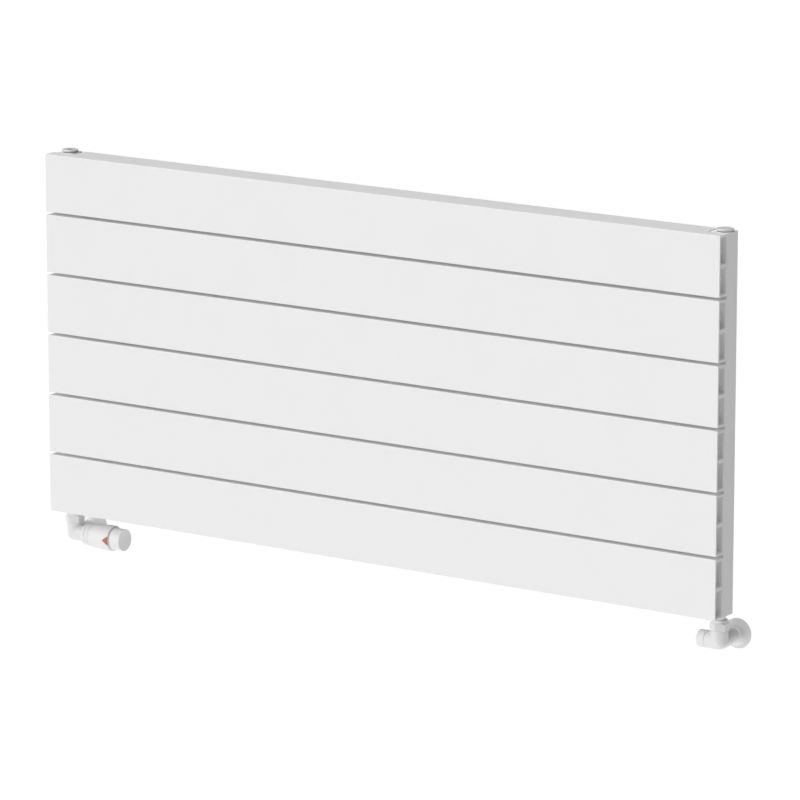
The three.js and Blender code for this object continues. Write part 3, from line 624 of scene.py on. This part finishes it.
def collector_mesh(side_name):
    """A header tube with eased back corners, a threaded hole at each end and its water ports."""
    node = f"collector_{side_name}"
    low, high = node_box(node)
    corner = COLLECTOR["back_corner"]
    radii = (ALMOST_SHARP + COLLECTOR["edge"], ALMOST_SHARP + COLLECTOR["edge"], corner, corner)
    section = (low.x, low.y), (high.x, high.y)
    ends = pillow(low.z, high.z, COLLECTOR["edge"])
    tube = loft([(z, rectangle(*section, radii, inset)) for z, inset in ends], along_z)
    wall = COLLECTOR["wall"]
    block = COLLECTOR["end_block"]
    inside = rectangle(*section, (wall,) * 4, wall)
    tube = cut(tube, prism(inside, low.z + block, high.z - block, along_z))
    axis_y = node_centre("trv_tailpiece").y
    bore = COLLECTOR["bore"]
    flare = COLLECTOR["edge"]
    length = high.z - low.z
    hole = turned([
        (0, -PAST), (bore + flare, -PAST), (bore + flare, 0), (bore, flare), (bore, length - flare),
        (bore + flare, length), (bore + flare, length + PAST), (0, length + PAST),
    ], Vector((node_centre(node).x, axis_y, low.z)), UP)
    tube = cut(tube, hole)
    heights = [node_centre(f"panel_{i + 1}").z for i in range(PANEL_COUNT)]
    start, end = low.y - PAST, low.y + wall + PAST
    return cut(tube, *[port(side_name, height, start, end) for height in heights])


def add_heating_body():
    panel = panel_mesh()
    caps = {name: end_cap_mesh(side) for name, side in SIDES.items()}
    lowest = node_box(f"panel_{PANEL_COUNT}")[0].z
    for i in range(PANEL_COUNT):
        number = i + 1
        rise = Vector((0, 0, node_box(f"panel_{number}")[0].z - lowest))
        add_piece(f"panel_{number}", shifted(panel, rise), "panel_enamel")
        for name, cap in caps.items():
            add_piece(f"end_cap_{name}_{number}", shifted(cap, rise), "panel_enamel")
    for name in SIDES:
        add_piece(f"collector_{name}", collector_mesh(name), "panel_enamel")


# ---------------- top plugs


def washer(values):
    inner, outer, edge = values["inner"], values["outer"], values["edge"]
    low, high = values["low"], values["high"]
    return [(inner, low), (outer, low, edge), (outer, high, edge), (inner, high)]


def add_top_plugs():
    flange = PLUG["flange"]
    low, high, chamfer = PLUG["low"], PLUG["high"], PLUG["chamfer"]
    outside = [
        (PLUG["thread"], -PLUG["depth"], 0.5), (PLUG["thread"], low),
        (flange, low, 0.3), (flange, high - chamfer, 0.4), (flange - chamfer, high, 0.5),
    ]
    vent_inside = [
        (VENT["recess"], high, 0.3), (VENT["recess"], VENT["floor"], 0.3),
        (VENT["hole"], VENT["floor"], 0.2), (VENT["hole"], -PLUG["depth"], 0.2),
    ]
    tops = {}
    for name in SIDES:
        collector_top = node_box(f"collector_{name}")[1].z
        axis = node_centre(f"collector_{name}")
        tops[name] = Vector((axis.x, node_centre("trv_tailpiece").y, collector_top))
    vent = turned(outside + vent_inside, tops["left"], UP)
    # Both plugs take the darker enamel, whose colour holds painted shade.
    add_piece("air_vent_plug", vent, "fitting_enamel", "plug_enamel_painted_shade")
    blank = turned([(0, -PLUG["depth"])] + outside + [(0, high)], tops["right"], UP)
    add_piece("blanking_plug", blank, "fitting_enamel", "plug_enamel_painted_shade")
    for node, name in (("air_vent_seal", "left"), ("blanking_plug_seal", "right")):
        add_piece(node, turned(washer(GASKET), tops[name], UP), "rubber")
    add_piece("bleed_screw", bleed_screw_mesh(tops["left"]), "brass", "plated_brass")


def bleed_screw_mesh(top):
    """A slim screw whose square end takes a vent key."""
    half, edge = VENT_KEY["width"] / 2, VENT_KEY["edge"]
    radius = BLEED["shank"]
    tip = -PLUG["depth"]
    neck = VENT_KEY["low"] + edge
    shank = [
        (0, tip), (BLEED["tip"], tip), (radius, tip + BLEED["tip_length"], 0.3), (radius, neck),
        (0, neck),
    ]
    section = (top.x - half, top.y - half), (top.x + half, top.y + half)
    heights = pillow(top.z + VENT_KEY["low"], top.z + VENT_KEY["high"], edge)
    radii = (VENT_KEY["corner"],) * 4
    key = loft([(z, rectangle(*section, radii, inset)) for z, inset in heights], along_z)
    return join(turned(shank, top, UP, SMALL), key)


# ---------------- wall fixings


def strip_mesh(outline, node):
    """A bent steel strip: an outline in Y and Z, as wide as its CAD node, with softened edges."""
    low, high = node_box(node)
    return soften(prism(eased(outline), low.x, high.x, along_x), STRIP_EDGE)


def hanger_mesh(node):
    low, high = node_box(node)
    plate = HANGER["plate"]
    lip_low = low.z + HANGER["lip"]
    bend = HANGER["bend"]
    inner_bend = bend - plate
    shelf = high.z - plate
    return strip_mesh([
        (low.y, low.z), (low.y + plate, low.z), (low.y + plate, shelf, inner_bend),
        (high.y - plate, shelf, inner_bend), (high.y - plate, lip_low), (high.y, lip_low),
        (high.y, high.z, bend), (low.y, high.z, bend),
    ], node)


def wall_bracket_mesh(node):
    low, high = node_box(node)
    plate = BRACKET["plate"]
    foot = node_box("panel_1")[0].z
    arm = foot + BRACKET["arm"]
    plate_top = foot + BRACKET["top"]
    lip = low.y
    root_bend = BRACKET["root_bend"]
    bracket = strip_mesh([
        (0, low.z), (0, plate_top), (-plate, plate_top), (-plate, arm + plate, root_bend),
        (lip + plate, arm + plate, BRACKET["lip_bend"]), (lip + plate, high.z), (lip, high.z),
        (lip, arm, BRACKET["bend"]), (-plate, arm, root_bend), (-plate, low.z),
    ], node)
    hole, sink = SCREW_HOLE["radius"], SCREW_HOLE["countersink"]
    profile = [
        (0, -plate - PAST), (hole + sink + PAST, -plate - PAST), (hole + sink, -plate),
        (hole, sink - plate), (hole, PAST), (0, PAST),
    ]
    axes = [Vector((node_centre(node).x, 0, foot + height)) for height in SCREW_HOLE["heights"]]
    return cut(bracket, *[turned(profile, axis, BACK, SMALL) for axis in axes])


def spacer_mesh(node):
    low, high = node_box(node)
    place = Vector((node_centre(node).x, 0, node_centre(node).z))
    head_end = low.y + SPACER["head_length"]
    return turned([
        (0, low.y), (SPACER["head"], low.y, 1.0), (SPACER["head"], head_end, 1.4),
        (SPACER["shaft"], head_end, 1.5), (SPACER["shaft"], -SPACER["foot_length"], 2.0),
        (SPACER["foot"], -SPACER["foot_length"], 1.2), (SPACER["foot"], high.y, 0.4), (0, high.y),
    ], place, BACK)


def add_wall_fixings():
    for name in SIDES:
        add_piece(f"hanger_{name}", hanger_mesh(f"hanger_{name}"), "zinc_steel")
        add_piece(f"wall_bracket_{name}", wall_bracket_mesh(f"wall_bracket_{name}"), "zinc_steel")
        add_piece(f"spacer_{name}", spacer_mesh(f"spacer_{name}"), "white_plastic")


# ---------------- both valves


def valve_body_mesh(centre, axis, leg):
    """Three legs melted into a ball, with the seat, the waterways and the pipe socket cut inside."""
    radius = VALVE["radius"]
    half_circle = arc((0, 0), radius, radius, -math.pi / 2, math.pi / 2, BALL_STEPS)
    parts = [
        turned([(0, -radius)] + half_circle[1:-1] + [(0, radius)], centre, UP),
        rod(radius, -PAST, VALVE["up"], centre, UP, SMOOTH),
        rod(radius, -PAST, VALVE["back"], centre, BACK, SMOOTH),
        rod(leg["radius"], -PAST, leg["end"], centre, axis, SMOOTH),
        rod(VALVE["spigot"], 0, VALVE["spigot_end"], centre, UP, SMOOTH),
        rod(VALVE["spigot"], 0, VALVE["spigot_end"], centre, BACK, SMOOTH),
    ]
    body = cast(parts, VOXEL["body"], SMOOTHING["body"])
    link = centre - axis * WATERWAY_LINK["inward"]
    top = VALVE["spigot_end"] + PAST
    return cut(
        body,
        rod(leg["chamber"], WATERWAY["seat"], leg["end"] + PAST, centre, axis),
        rod(WATERWAY["orifice"], -WATERWAY_LINK["depth"], PAST, centre, axis),
        rod(WATERWAY["up"], WATERWAY["up_low"], top, centre, UP),
        rod(WATERWAY["socket"], WATERWAY["socket_low"], top, centre, BACK),
        rod(WATERWAY_LINK["radius"], 0, WATERWAY["socket_low"] + PAST, link, BACK),
    )


def union_nut_mesh(centre):
    """A hexagon with chamfered corners below a round collar, with a thread and a lip inside."""
    low, high = UNION_NUT["low"], UNION_NUT["high"]
    hex_high = UNION_NUT["hex_high"]
    collar = UNION_COLLAR["radius"]
    sixth = math.pi / 3
    corner = UNION_NUT["flats"] / 2 / math.cos(sixth / 2)
    half_chamfer = (corner - collar) / 2
    angles = [sixth / 2 + i * sixth for i in range(6)]
    points = [(centre.x + corner * math.cos(a), centre.y + corner * math.sin(a)) for a in angles]
    shoulder = hex_high + half_chamfer
    hexagon = prism(points, centre.z + low, centre.z + shoulder, along_z)
    envelope = turned([
        (0, low), (corner - half_chamfer, low), (corner, low + half_chamfer),
        (corner, hex_high - half_chamfer), (UNION_COLLAR["waist"], shoulder), (0, shoulder),
    ], centre, UP)
    root = hex_high - UNION_COLLAR["sunk"]
    ring = turned([(0, root), (collar, root), (collar, high, 1.3), (0, high)], centre, UP)
    nut = cast([share(hexagon, envelope), ring], VOXEL["nut"], SMOOTHING["nut"])
    thread = UNION_NUT_THREAD["radius"]
    thread_high = UNION_NUT_THREAD["high"]
    lead = UNION_NUT_THREAD["lead"]
    lip, edge = UNION_COLLAR["lip"], UNION_COLLAR["lip_edge"]
    inside = turned([
        (0, low - PAST), (thread + lead, low - PAST), (thread + lead, low), (thread, low + lead),
        (thread, thread_high), (lip, thread_high), (lip, high - edge),
        (lip + edge, high + UNION_COLLAR["mouth"]), (lip + edge, high + PAST), (0, high + PAST),
    ], centre, UP)
    return cut(nut, inside)


def rosette_profile(centre):
    """A trumpet whose rim lies on the wall plane, at Y zero."""
    wall = -centre.y
    start = wall - ROSETTE["length"]
    outer_height = ROSETTE["length"] - ROSETTE["thickness"]
    rim = ROSETTE["rim"]
    throat = ROSETTE["neck"]
    bore = ROSETTE["bore"]
    inner_rim = rim - ROSETTE["lip"]
    quarter = math.pi / 2
    outside = arc((rim, start), throat - rim, outer_height, 0, quarter, CURVE_STEPS)
    inside = arc((inner_rim, start), bore - inner_rim, ROSETTE["length"], quarter, 0, CURVE_STEPS)
    rounded_rim = [(*outside[-1], 0.6), (rim, wall, 0.3)]
    return [(*outside[0], 0.25)] + outside[1:-1] + rounded_rim + inside[:-1] + [(*inside[-1], 0.25)]


def add_valve_connections(prefix, centre):
    thread_top = TAIL["top"]
    collector = node_box("collector_left")[0].z - centre.z
    add_piece(f"{prefix}_tailpiece", turned([
        (TAIL["bore"], TAIL["low"], 0.3), (TAIL["collar"], TAIL["low"], 0.3),
        (TAIL["collar"], TAIL["step"], 0.3), (TAIL["neck"], TAIL["step"], 0.3),
        (TAIL["neck"], collector), (PLUG["thread"], collector + TAIL["lead"]),
        (PLUG["thread"], thread_top, 0.6), (TAIL["bore"], thread_top, 0.4),
    ], centre, UP), "fitting_enamel")
    add_piece(f"{prefix}_union_nut", union_nut_mesh(centre), "fitting_enamel")
    add_piece(f"{prefix}_union_seal", turned(washer(UNION_SEAL), centre, UP), "rubber")
    add_piece(f"{prefix}_compression_nut", turned([
        (PIPE_NUT["thread"], PIPE_NUT["start"]), (PIPE_NUT["radius"], PIPE_NUT["start"], 0.5),
        (PIPE_NUT["radius"], PIPE_NUT["end"], 0.4), (PIPE_NUT["bore"], PIPE_NUT["end"], 0.5),
        (PIPE_NUT["bore"], PIPE_NUT["shoulder"]), (PIPE_NUT["thread"], PIPE_NUT["shoulder"]),
    ], centre, BACK), "fitting_enamel")
    middle = (OLIVE["start"] + OLIVE["end"]) / 2
    add_piece(f"{prefix}_olive", turned([
        (OLIVE["inner"], OLIVE["start"], 0.2), (OLIVE["ends"], OLIVE["start"], 0.2),
        (OLIVE["crown"], middle, 2.5), (OLIVE["ends"], OLIVE["end"], 0.2),
        (OLIVE["inner"], OLIVE["end"], 0.2),
    ], centre, BACK), "brass", "brass_y")
    add_piece(f"{prefix}_rosette", turned(rosette_profile(centre), centre, BACK), "fitting_enamel")


def seal_ring_mesh(at, centre, axis):
    section = SEAL_RING["section"]
    circle = arc((SEAL_RING["radius"], at), section, section, 0, 2 * math.pi, RING_STEPS)[:-1]
    return turned(circle, centre, axis, SMALL)


def grooved(values):
    """The outside of a sleeve, from its start to its seat, with a groove for its seal ring."""
    radius, groove = values["radius"], SEAL_RING["groove"]
    near = values["ring"] - SEAL_RING["groove_half"]
    far = values["ring"] + SEAL_RING["groove_half"]
    sleeve = [(radius, values["start"], 0.3), (radius, near, 0.1), (groove, near, 0.1)]
    return sleeve + [(groove, far, 0.1), (radius, far, 0.1), (radius, values["seat"])]


# ---------------- thermostatic valve


def spring_mesh(centre, axis):
    """A round wire wound round the axis."""
    steps = SPRING["steps"] * SPRING["turns"]
    sides = SPRING["sides"]
    wire = SPRING["wire"]
    side = axis.orthogonal().normalized()
    third = axis.cross(side)
    length = SPRING["end"] - SPRING["start"] - 2 * wire
    mesh = bmesh.new()
    rings = []
    for i in range(steps + 1):
        done = i / steps
        angle = 2 * math.pi * SPRING["turns"] * done
        spoke = side * math.cos(angle) + third * math.sin(angle)
        middle = centre + spoke * SPRING["radius"] + axis * (SPRING["start"] + wire + length * done)
        tilts = [2 * math.pi * k / sides for k in range(sides)]
        loop = [middle + (spoke * math.cos(t) + axis * math.sin(t)) * wire for t in tilts]
        rings.append([mesh.verts.new(point) for point in loop])
    for first, second in zip(rings, rings[1:]):
        skin(mesh, first, second)
    mesh.faces.new(rings[0])
    mesh.faces.new(rings[-1])
    return outward(mesh)


def add_return_spring(centre):
    """The return spring round the spindle, given a mesh of its own."""
    spring = add_piece("trv_return_spring", spring_mesh(centre, RIGHT), "stainless_steel")
    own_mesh(spring)


def handle_swell(lift):
    """The outer line of the handle. It swells from the base and rounds over at its far end."""
    grow = HANDLE["large"] - HANDLE["small"]
    swell_end = HANDLE["end"] - HANDLE["round"]
    line = []
    for i in range(CURVE_STEPS + 1):
        t = i / CURVE_STEPS
        radius = HANDLE["small"] + grow * math.sin(t * math.pi / 2)
        line.append((radius + lift, HANDLE["start"] + t * (swell_end - HANDLE["start"])))
    over_centre = (HANDLE["large"] - HANDLE["round"], swell_end)
    over = arc(over_centre, HANDLE["round"] + lift, HANDLE["round"], 0, math.pi / 2, CORNER_STEPS + 1)
    return line + over[1:]


def marker_prism(centre, margin):
    """A triangular prism that runs forward from the head's axis, with its point to the base."""
    far = HANDLE["end"] + 2 * PAST
    slope = MARKER["half_height"] / (HANDLE["end"] - MARKER["tip"])
    tip = MARKER["tip"] - math.hypot(1, slope) * margin / slope
    half = slope * (far - tip)
    corners = [(tip, 0, MARKER_POCKET["tip_round"]), (far, -half), (far, half)]
    depth = 2 * HANDLE["large"]
    return loft(
        [(0, eased(corners)), (depth, eased(corners))],
        lambda x, z, forward: centre + Vector((x, -forward, z)),
    )


def handle_core(radius, centre):
    """A rod longer than the handle, to cut away all of a prism that lies below the radius."""
    return rod(radius, HANDLE["start"] - PAST, HANDLE["end"] + 4 * PAST, centre, RIGHT, FINE)


def handle_mesh(centre):
    swell = handle_swell(0)
    bore = HANDLE["bore"]
    profile = [(bore, HANDLE["start"], 0.3), (*swell[0], 1.1)] + swell[1:] + [(bore, HANDLE["end"])]
    pocket = cut(marker_prism(centre, 0), handle_core(MARKER_POCKET["floor"], centre))
    return cut(turned(profile, centre, RIGHT, FINE), pocket)


def marker_mesh(centre):
    """A plain triangular inlay that follows the curve of the handle, smaller than its pocket."""
    profile = [(0, HANDLE["start"])] + handle_swell(MARKER["proud"]) + [(0, HANDLE["end"])]
    inlay = cut(marker_prism(centre, -MARKER["margin"]), handle_core(MARKER["floor"], centre))
    return share(inlay, turned(profile, centre, RIGHT, FINE))


def head_nut_profile():
    """A collar that flares quickly from the valve's leg and runs out almost level."""
    steps = CURVE_STEPS // 2
    start, end = HEAD_NUT["start"], HEAD_NUT["end"]
    length = HEAD_FLARE["end"] - start
    grow = HEAD_NUT["large"] - HEAD_NUT["small"]
    flare = []
    for i in range(steps + 1):
        t = i / steps
        rise = math.sin(t * math.pi / 2) ** HEAD_FLARE["power"]
        flare.append((HEAD_NUT["small"] + grow * rise, start + length * t))
    flare[0] = (*flare[0], 0.4)
    shoulder = (HEAD_NUT["large"], end, HEAD_FLARE["shoulder"])
    return [(HEAD_NUT["bore"], start)] + flare + [shoulder, (HEAD_NUT["bore"], end)]


def insert_profile():
    """The screwed-in cartridge: a sleeve and a flange, then a neck that guides the spindle."""
    flange, seat, flange_end = INSERT["flange"], INSERT["seat"], INSERT["flange_end"]
    neck, end = INSERT_NECK["radius"], INSERT_NECK["end"]
    bore, bore_start = INSERT_NECK["bore"], INSERT_NECK["bore_start"]
    return grooved(INSERT) + [
        (flange, seat, 0.4), (flange, flange_end, 0.6), (neck, flange_end, 0.3), (neck, end, 0.5),
        (bore, end, 0.3), (bore, bore_start), (neck, bore_start, 0.4), (neck, INSERT["start"], 0.3),
    ]


def spindle_profile():
    flange, radius = SPINDLE["flange"], SPINDLE["radius"]
    start, shoulder, end = SPINDLE["start"], SPINDLE["flange_end"], SPINDLE["end"]
    return [
        (0, start), (flange, start, 0.5), (flange, shoulder, 0.4), (radius, shoulder, 0.3),
        (radius, end, 0.5), (0, end),
    ]


def head_base_profile():
    """A wide band against the nut, then a sleeve inside the handle that holds the sensor."""
    bore, start, bore_end = HEAD_BASE["bore"], HEAD_BASE["start"], HEAD_BASE["bore_end"]
    band, band_end = HEAD_BASE["radius"], HEAD_BASE["band_end"]
    sleeve, end = HEAD_SLEEVE["radius"], HEAD_SLEEVE["end"]
    inner, floor = HEAD_SLEEVE["bore"], HEAD_SLEEVE["floor"]
    hole = HEAD_BASE["hole"]
    return [
        (bore, start, 0.2), (band, start, 1.0), (band, band_end, 1.0), (sleeve, band_end, 0.3),
        (sleeve, end, 0.5), (inner, end, 0.3), (inner, floor, 0.4), (hole, floor, 0.3),
        (hole, bore_end, 0.2), (bore, bore_end, 0.2),
    ]


def sensor_profile():
    pin, radius = SENSOR["pin"], SENSOR["radius"]
    start, shoulder, end = SENSOR["start"], SENSOR["shoulder"], SENSOR["end"]
    return [
        (0, start), (pin, start, 0.6), (pin, shoulder, 0.5), (radius, shoulder, 1.2),
        (radius, end, 1.2), (0, end),
    ]


def head_cap_profile():
    """A sleeve inside the handle, a recessed neck, and the cap itself, which narrows a little."""
    bore, floor, end = HEAD_CAP["bore"], HEAD_CAP["floor"], HEAD_CAP["end"]
    sleeve, sleeve_start = CAP_SLEEVE["radius"], CAP_SLEEVE["start"]
    neck, neck_start, cap_start = CAP_SLEEVE["neck"], CAP_SLEEVE["neck_start"], HEAD_CAP["start"]
    return [
        (bore, sleeve_start, 0.3), (sleeve, sleeve_start, 0.3), (sleeve, neck_start),
        (neck, neck_start, 0.2), (neck, cap_start, 0.3), (HEAD_CAP["radius"], cap_start, 0.35),
        (HEAD_CAP["end_radius"], end, 0.6), (0, end), (0, floor), (bore, floor, 1.0),
    ]


def add_thermostatic_valve():
    centre = valve_centre("trv")
    add_piece("trv_body", valve_body_mesh(centre, RIGHT, TRV_LEG), "fitting_enamel")
    add_valve_connections("trv", centre)
    add_piece("trv_insert", turned(insert_profile(), centre, RIGHT), "brass", "brass_x")
    add_piece("trv_insert_seal", seal_ring_mesh(INSERT["ring"], centre, RIGHT), "rubber")
    add_piece("trv_spindle", turned(spindle_profile(), centre, RIGHT, SMALL), "stainless_steel")
    add_return_spring(centre)
    add_piece("trv_head_nut", turned(head_nut_profile(), centre, RIGHT), "white_plastic")
    add_piece("trv_head_base", turned(head_base_profile(), centre, RIGHT), "white_plastic")
    add_piece("trv_sensor", turned(sensor_profile(), centre, RIGHT), "grey_plastic")
    add_piece("trv_handle", handle_mesh(centre), "white_plastic")
    add_piece("trv_marker", marker_mesh(centre), "red_plastic")
    add_piece("trv_head_cap", turned(head_cap_profile(), centre, RIGHT), "white_plastic")


# ---------------- lockshield valve


def lock_spindle_mesh(centre):
    """A stepped brass spindle with a hexagon socket in its end."""
    tip, radius = LOCK_SPINDLE["tip"], LOCK_SPINDLE["radius"]
    start, shoulder, end = LOCK_SPINDLE["start"], LOCK_SPINDLE["shoulder"], LOCK_SPINDLE["end"]
    spindle = turned([
        (0, start), (tip, start, 0.4), (tip, shoulder, 0.3), (radius, shoulder, 0.4),
        (radius, end, 0.5), (0, end),
    ], centre, LEFT, SMALL)
    socket = rod(HEX_KEY["radius"], end - HEX_KEY["depth"], end + PAST, centre, LEFT, 6)
    return cut(spindle, socket)


def lock_plug_profile():
    radius, start, end = LOCK_PLUG["radius"], LOCK_PLUG["start"], LOCK_PLUG["end"]
    bore, floor = LOCK_PLUG["bore"], LOCK_PLUG["floor"]
    return [
        (0, start), (radius, start, 0.6), (radius, end, 0.4), (bore, end, 0.3), (bore, floor, 0.3),
        (0, floor),
    ]


def bonnet_profile():
    neck, bore = BONNET["neck"], BONNET["bore"]
    seat, end = BONNET["seat"], BONNET["end"]
    return grooved(BONNET) + [
        (neck, seat, 0.2), (neck, end, 0.6), (bore, end, 0.4), (bore, BONNET["start"], 0.3),
    ]


def add_lockshield_valve():
    centre = valve_centre("lockshield")
    add_piece("lockshield_body", valve_body_mesh(centre, LEFT, LOCK_LEG), "fitting_enamel")
    add_valve_connections("lockshield", centre)
    add_piece("lockshield_bonnet", turned(bonnet_profile(), centre, LEFT), "brass", "brass_x")
    ring = seal_ring_mesh(BONNET["ring"], centre, LEFT)
    add_piece("lockshield_bonnet_seal", ring, "rubber")
    add_piece("lockshield_spindle", lock_spindle_mesh(centre), "brass", "brass_x")
    plug = turned(lock_plug_profile(), centre, LEFT, SMALL)
    add_piece("lockshield_plug", plug, "brass", "brass_x")
    add_piece("lockshield_cap", turned([
        (LOCK_CAP["bore"], LOCK_CAP["start"], 0.3), (LOCK_CAP["radius"], LOCK_CAP["start"], 0.5),
        (LOCK_CAP["radius"], LOCK_CAP["end"], LOCK_CAP["round"]), (0, LOCK_CAP["end"]),
        (0, LOCK_CAP["bore_end"]), (LOCK_CAP["bore"], LOCK_CAP["bore_end"], 0.8),
    ], centre, LEFT), "white_plastic")


add_heating_body()
add_top_plugs()
add_wall_fixings()
add_thermostatic_valve()
add_lockshield_valve()

# ---------------- studio, in metres

FLOOR = {"height": -2.0, "reach": 90.0, "glow": 0.27, "roughness": 0.9}
MOTTLE = {"scale": 0.7, "dark": 0.80, "light": 0.82}
LEFT_OF_FRONT = math.radians(30)
KEY_LIGHT = {"elevation": 70, "energy": 1.98, "softness": 50, "shadow": True}
FRONT_LIGHT = {"elevation": 28, "energy": 1.3, "softness": 60, "shadow": True}
FILL_LIGHT = {"elevation": 80, "energy": 0.48, "softness": 35, "shadow": False}
SKY = {"dark": 0.06, "bright": 1.0, "horizon": 0.06, "fade": 0.16}
CAMERA = {"at": (4.3003, -6.4847, 1.9946), "turn": 33.5761, "tip": 12.7443}
LENS = {"length": 238.38, "sensor": 36, "far": 300}


def add_floor():
    """A wide plain floor well below the radiator, pale enough to read as white."""
    reach = FLOOR["reach"]
    mesh = bmesh.new()
    corners = [(-reach, -reach), (reach, -reach), (reach, reach), (-reach, reach)]
    mesh.faces.new([mesh.verts.new((x, y, FLOOR["height"])) for x, y in corners])
    data = bpy.data.meshes.new("studio_floor")
    mesh.to_mesh(data)
    mesh.free()
    look = Shader("pale_floor")
    mottle = look.noise(MOTTLE["scale"], detail=2)
    look.colours(mottle, (MOTTLE["dark"],) * 3, (MOTTLE["light"],) * 3)
    look.surface.inputs["Roughness"].default_value = FLOOR["roughness"]
    look.surface.inputs["Emission Color"].default_value = (1, 1, 1, 1)
    look.surface.inputs["Emission Strength"].default_value = FLOOR["glow"]
    data.materials.append(look.material)
    floor = bpy.data.objects.new("studio_floor", data)
    bpy.context.scene.collection.objects.link(floor)


def add_sky():
    """A dark studio above a bright horizon."""
    world = bpy.data.worlds.new("studio")
    bpy.context.scene.world = world
    world.use_nodes = True
    nodes = world.node_tree.nodes
    links = world.node_tree.links
    direction = nodes.new("ShaderNodeTexCoord")
    parts = nodes.new("ShaderNodeSeparateXYZ")
    fade = nodes.new("ShaderNodeMapRange")
    fade.interpolation_type = "SMOOTHSTEP"
    fade.inputs["From Min"].default_value = SKY["horizon"]
    fade.inputs["From Max"].default_value = SKY["fade"]
    fade.inputs["To Min"].default_value = SKY["bright"]
    fade.inputs["To Max"].default_value = SKY["dark"]
    links.new(direction.outputs["Generated"], parts.inputs["Vector"])
    links.new(parts.outputs["Z"], fade.inputs["Value"])
    links.new(fade.outputs["Result"], nodes["Background"].inputs["Strength"])


def add_light(name, values):
    """A wide, soft lamp far away, to the left of the radiator's front."""
    data = bpy.data.lights.new(name, "SUN")
    data.energy = values["energy"]
    data.angle = math.radians(values["softness"])
    data.use_shadow = values["shadow"]
    lamp = bpy.data.objects.new(name, data)
    lamp.rotation_euler = (math.radians(90 - values["elevation"]), 0, -LEFT_OF_FRONT)
    bpy.context.scene.collection.objects.link(lamp)


def add_camera():
    data = bpy.data.cameras.new("camera")
    data.lens = LENS["length"]
    data.sensor_width = LENS["sensor"]
    data.clip_end = LENS["far"]
    camera = bpy.data.objects.new("camera", data)
    camera.location = CAMERA["at"]
    tilt = math.radians(90 - CAMERA["tip"])
    camera.rotation_euler = (tilt, 0, math.radians(CAMERA["turn"]))
    bpy.context.scene.collection.objects.link(camera)
    bpy.context.scene.camera = camera


add_floor()
add_sky()
add_light("key_light", KEY_LIGHT)
add_light("front_light", FRONT_LIGHT)
add_light("fill_light", FILL_LIGHT)
add_camera()
bpy.context.scene.view_settings.view_transform = "Standard"
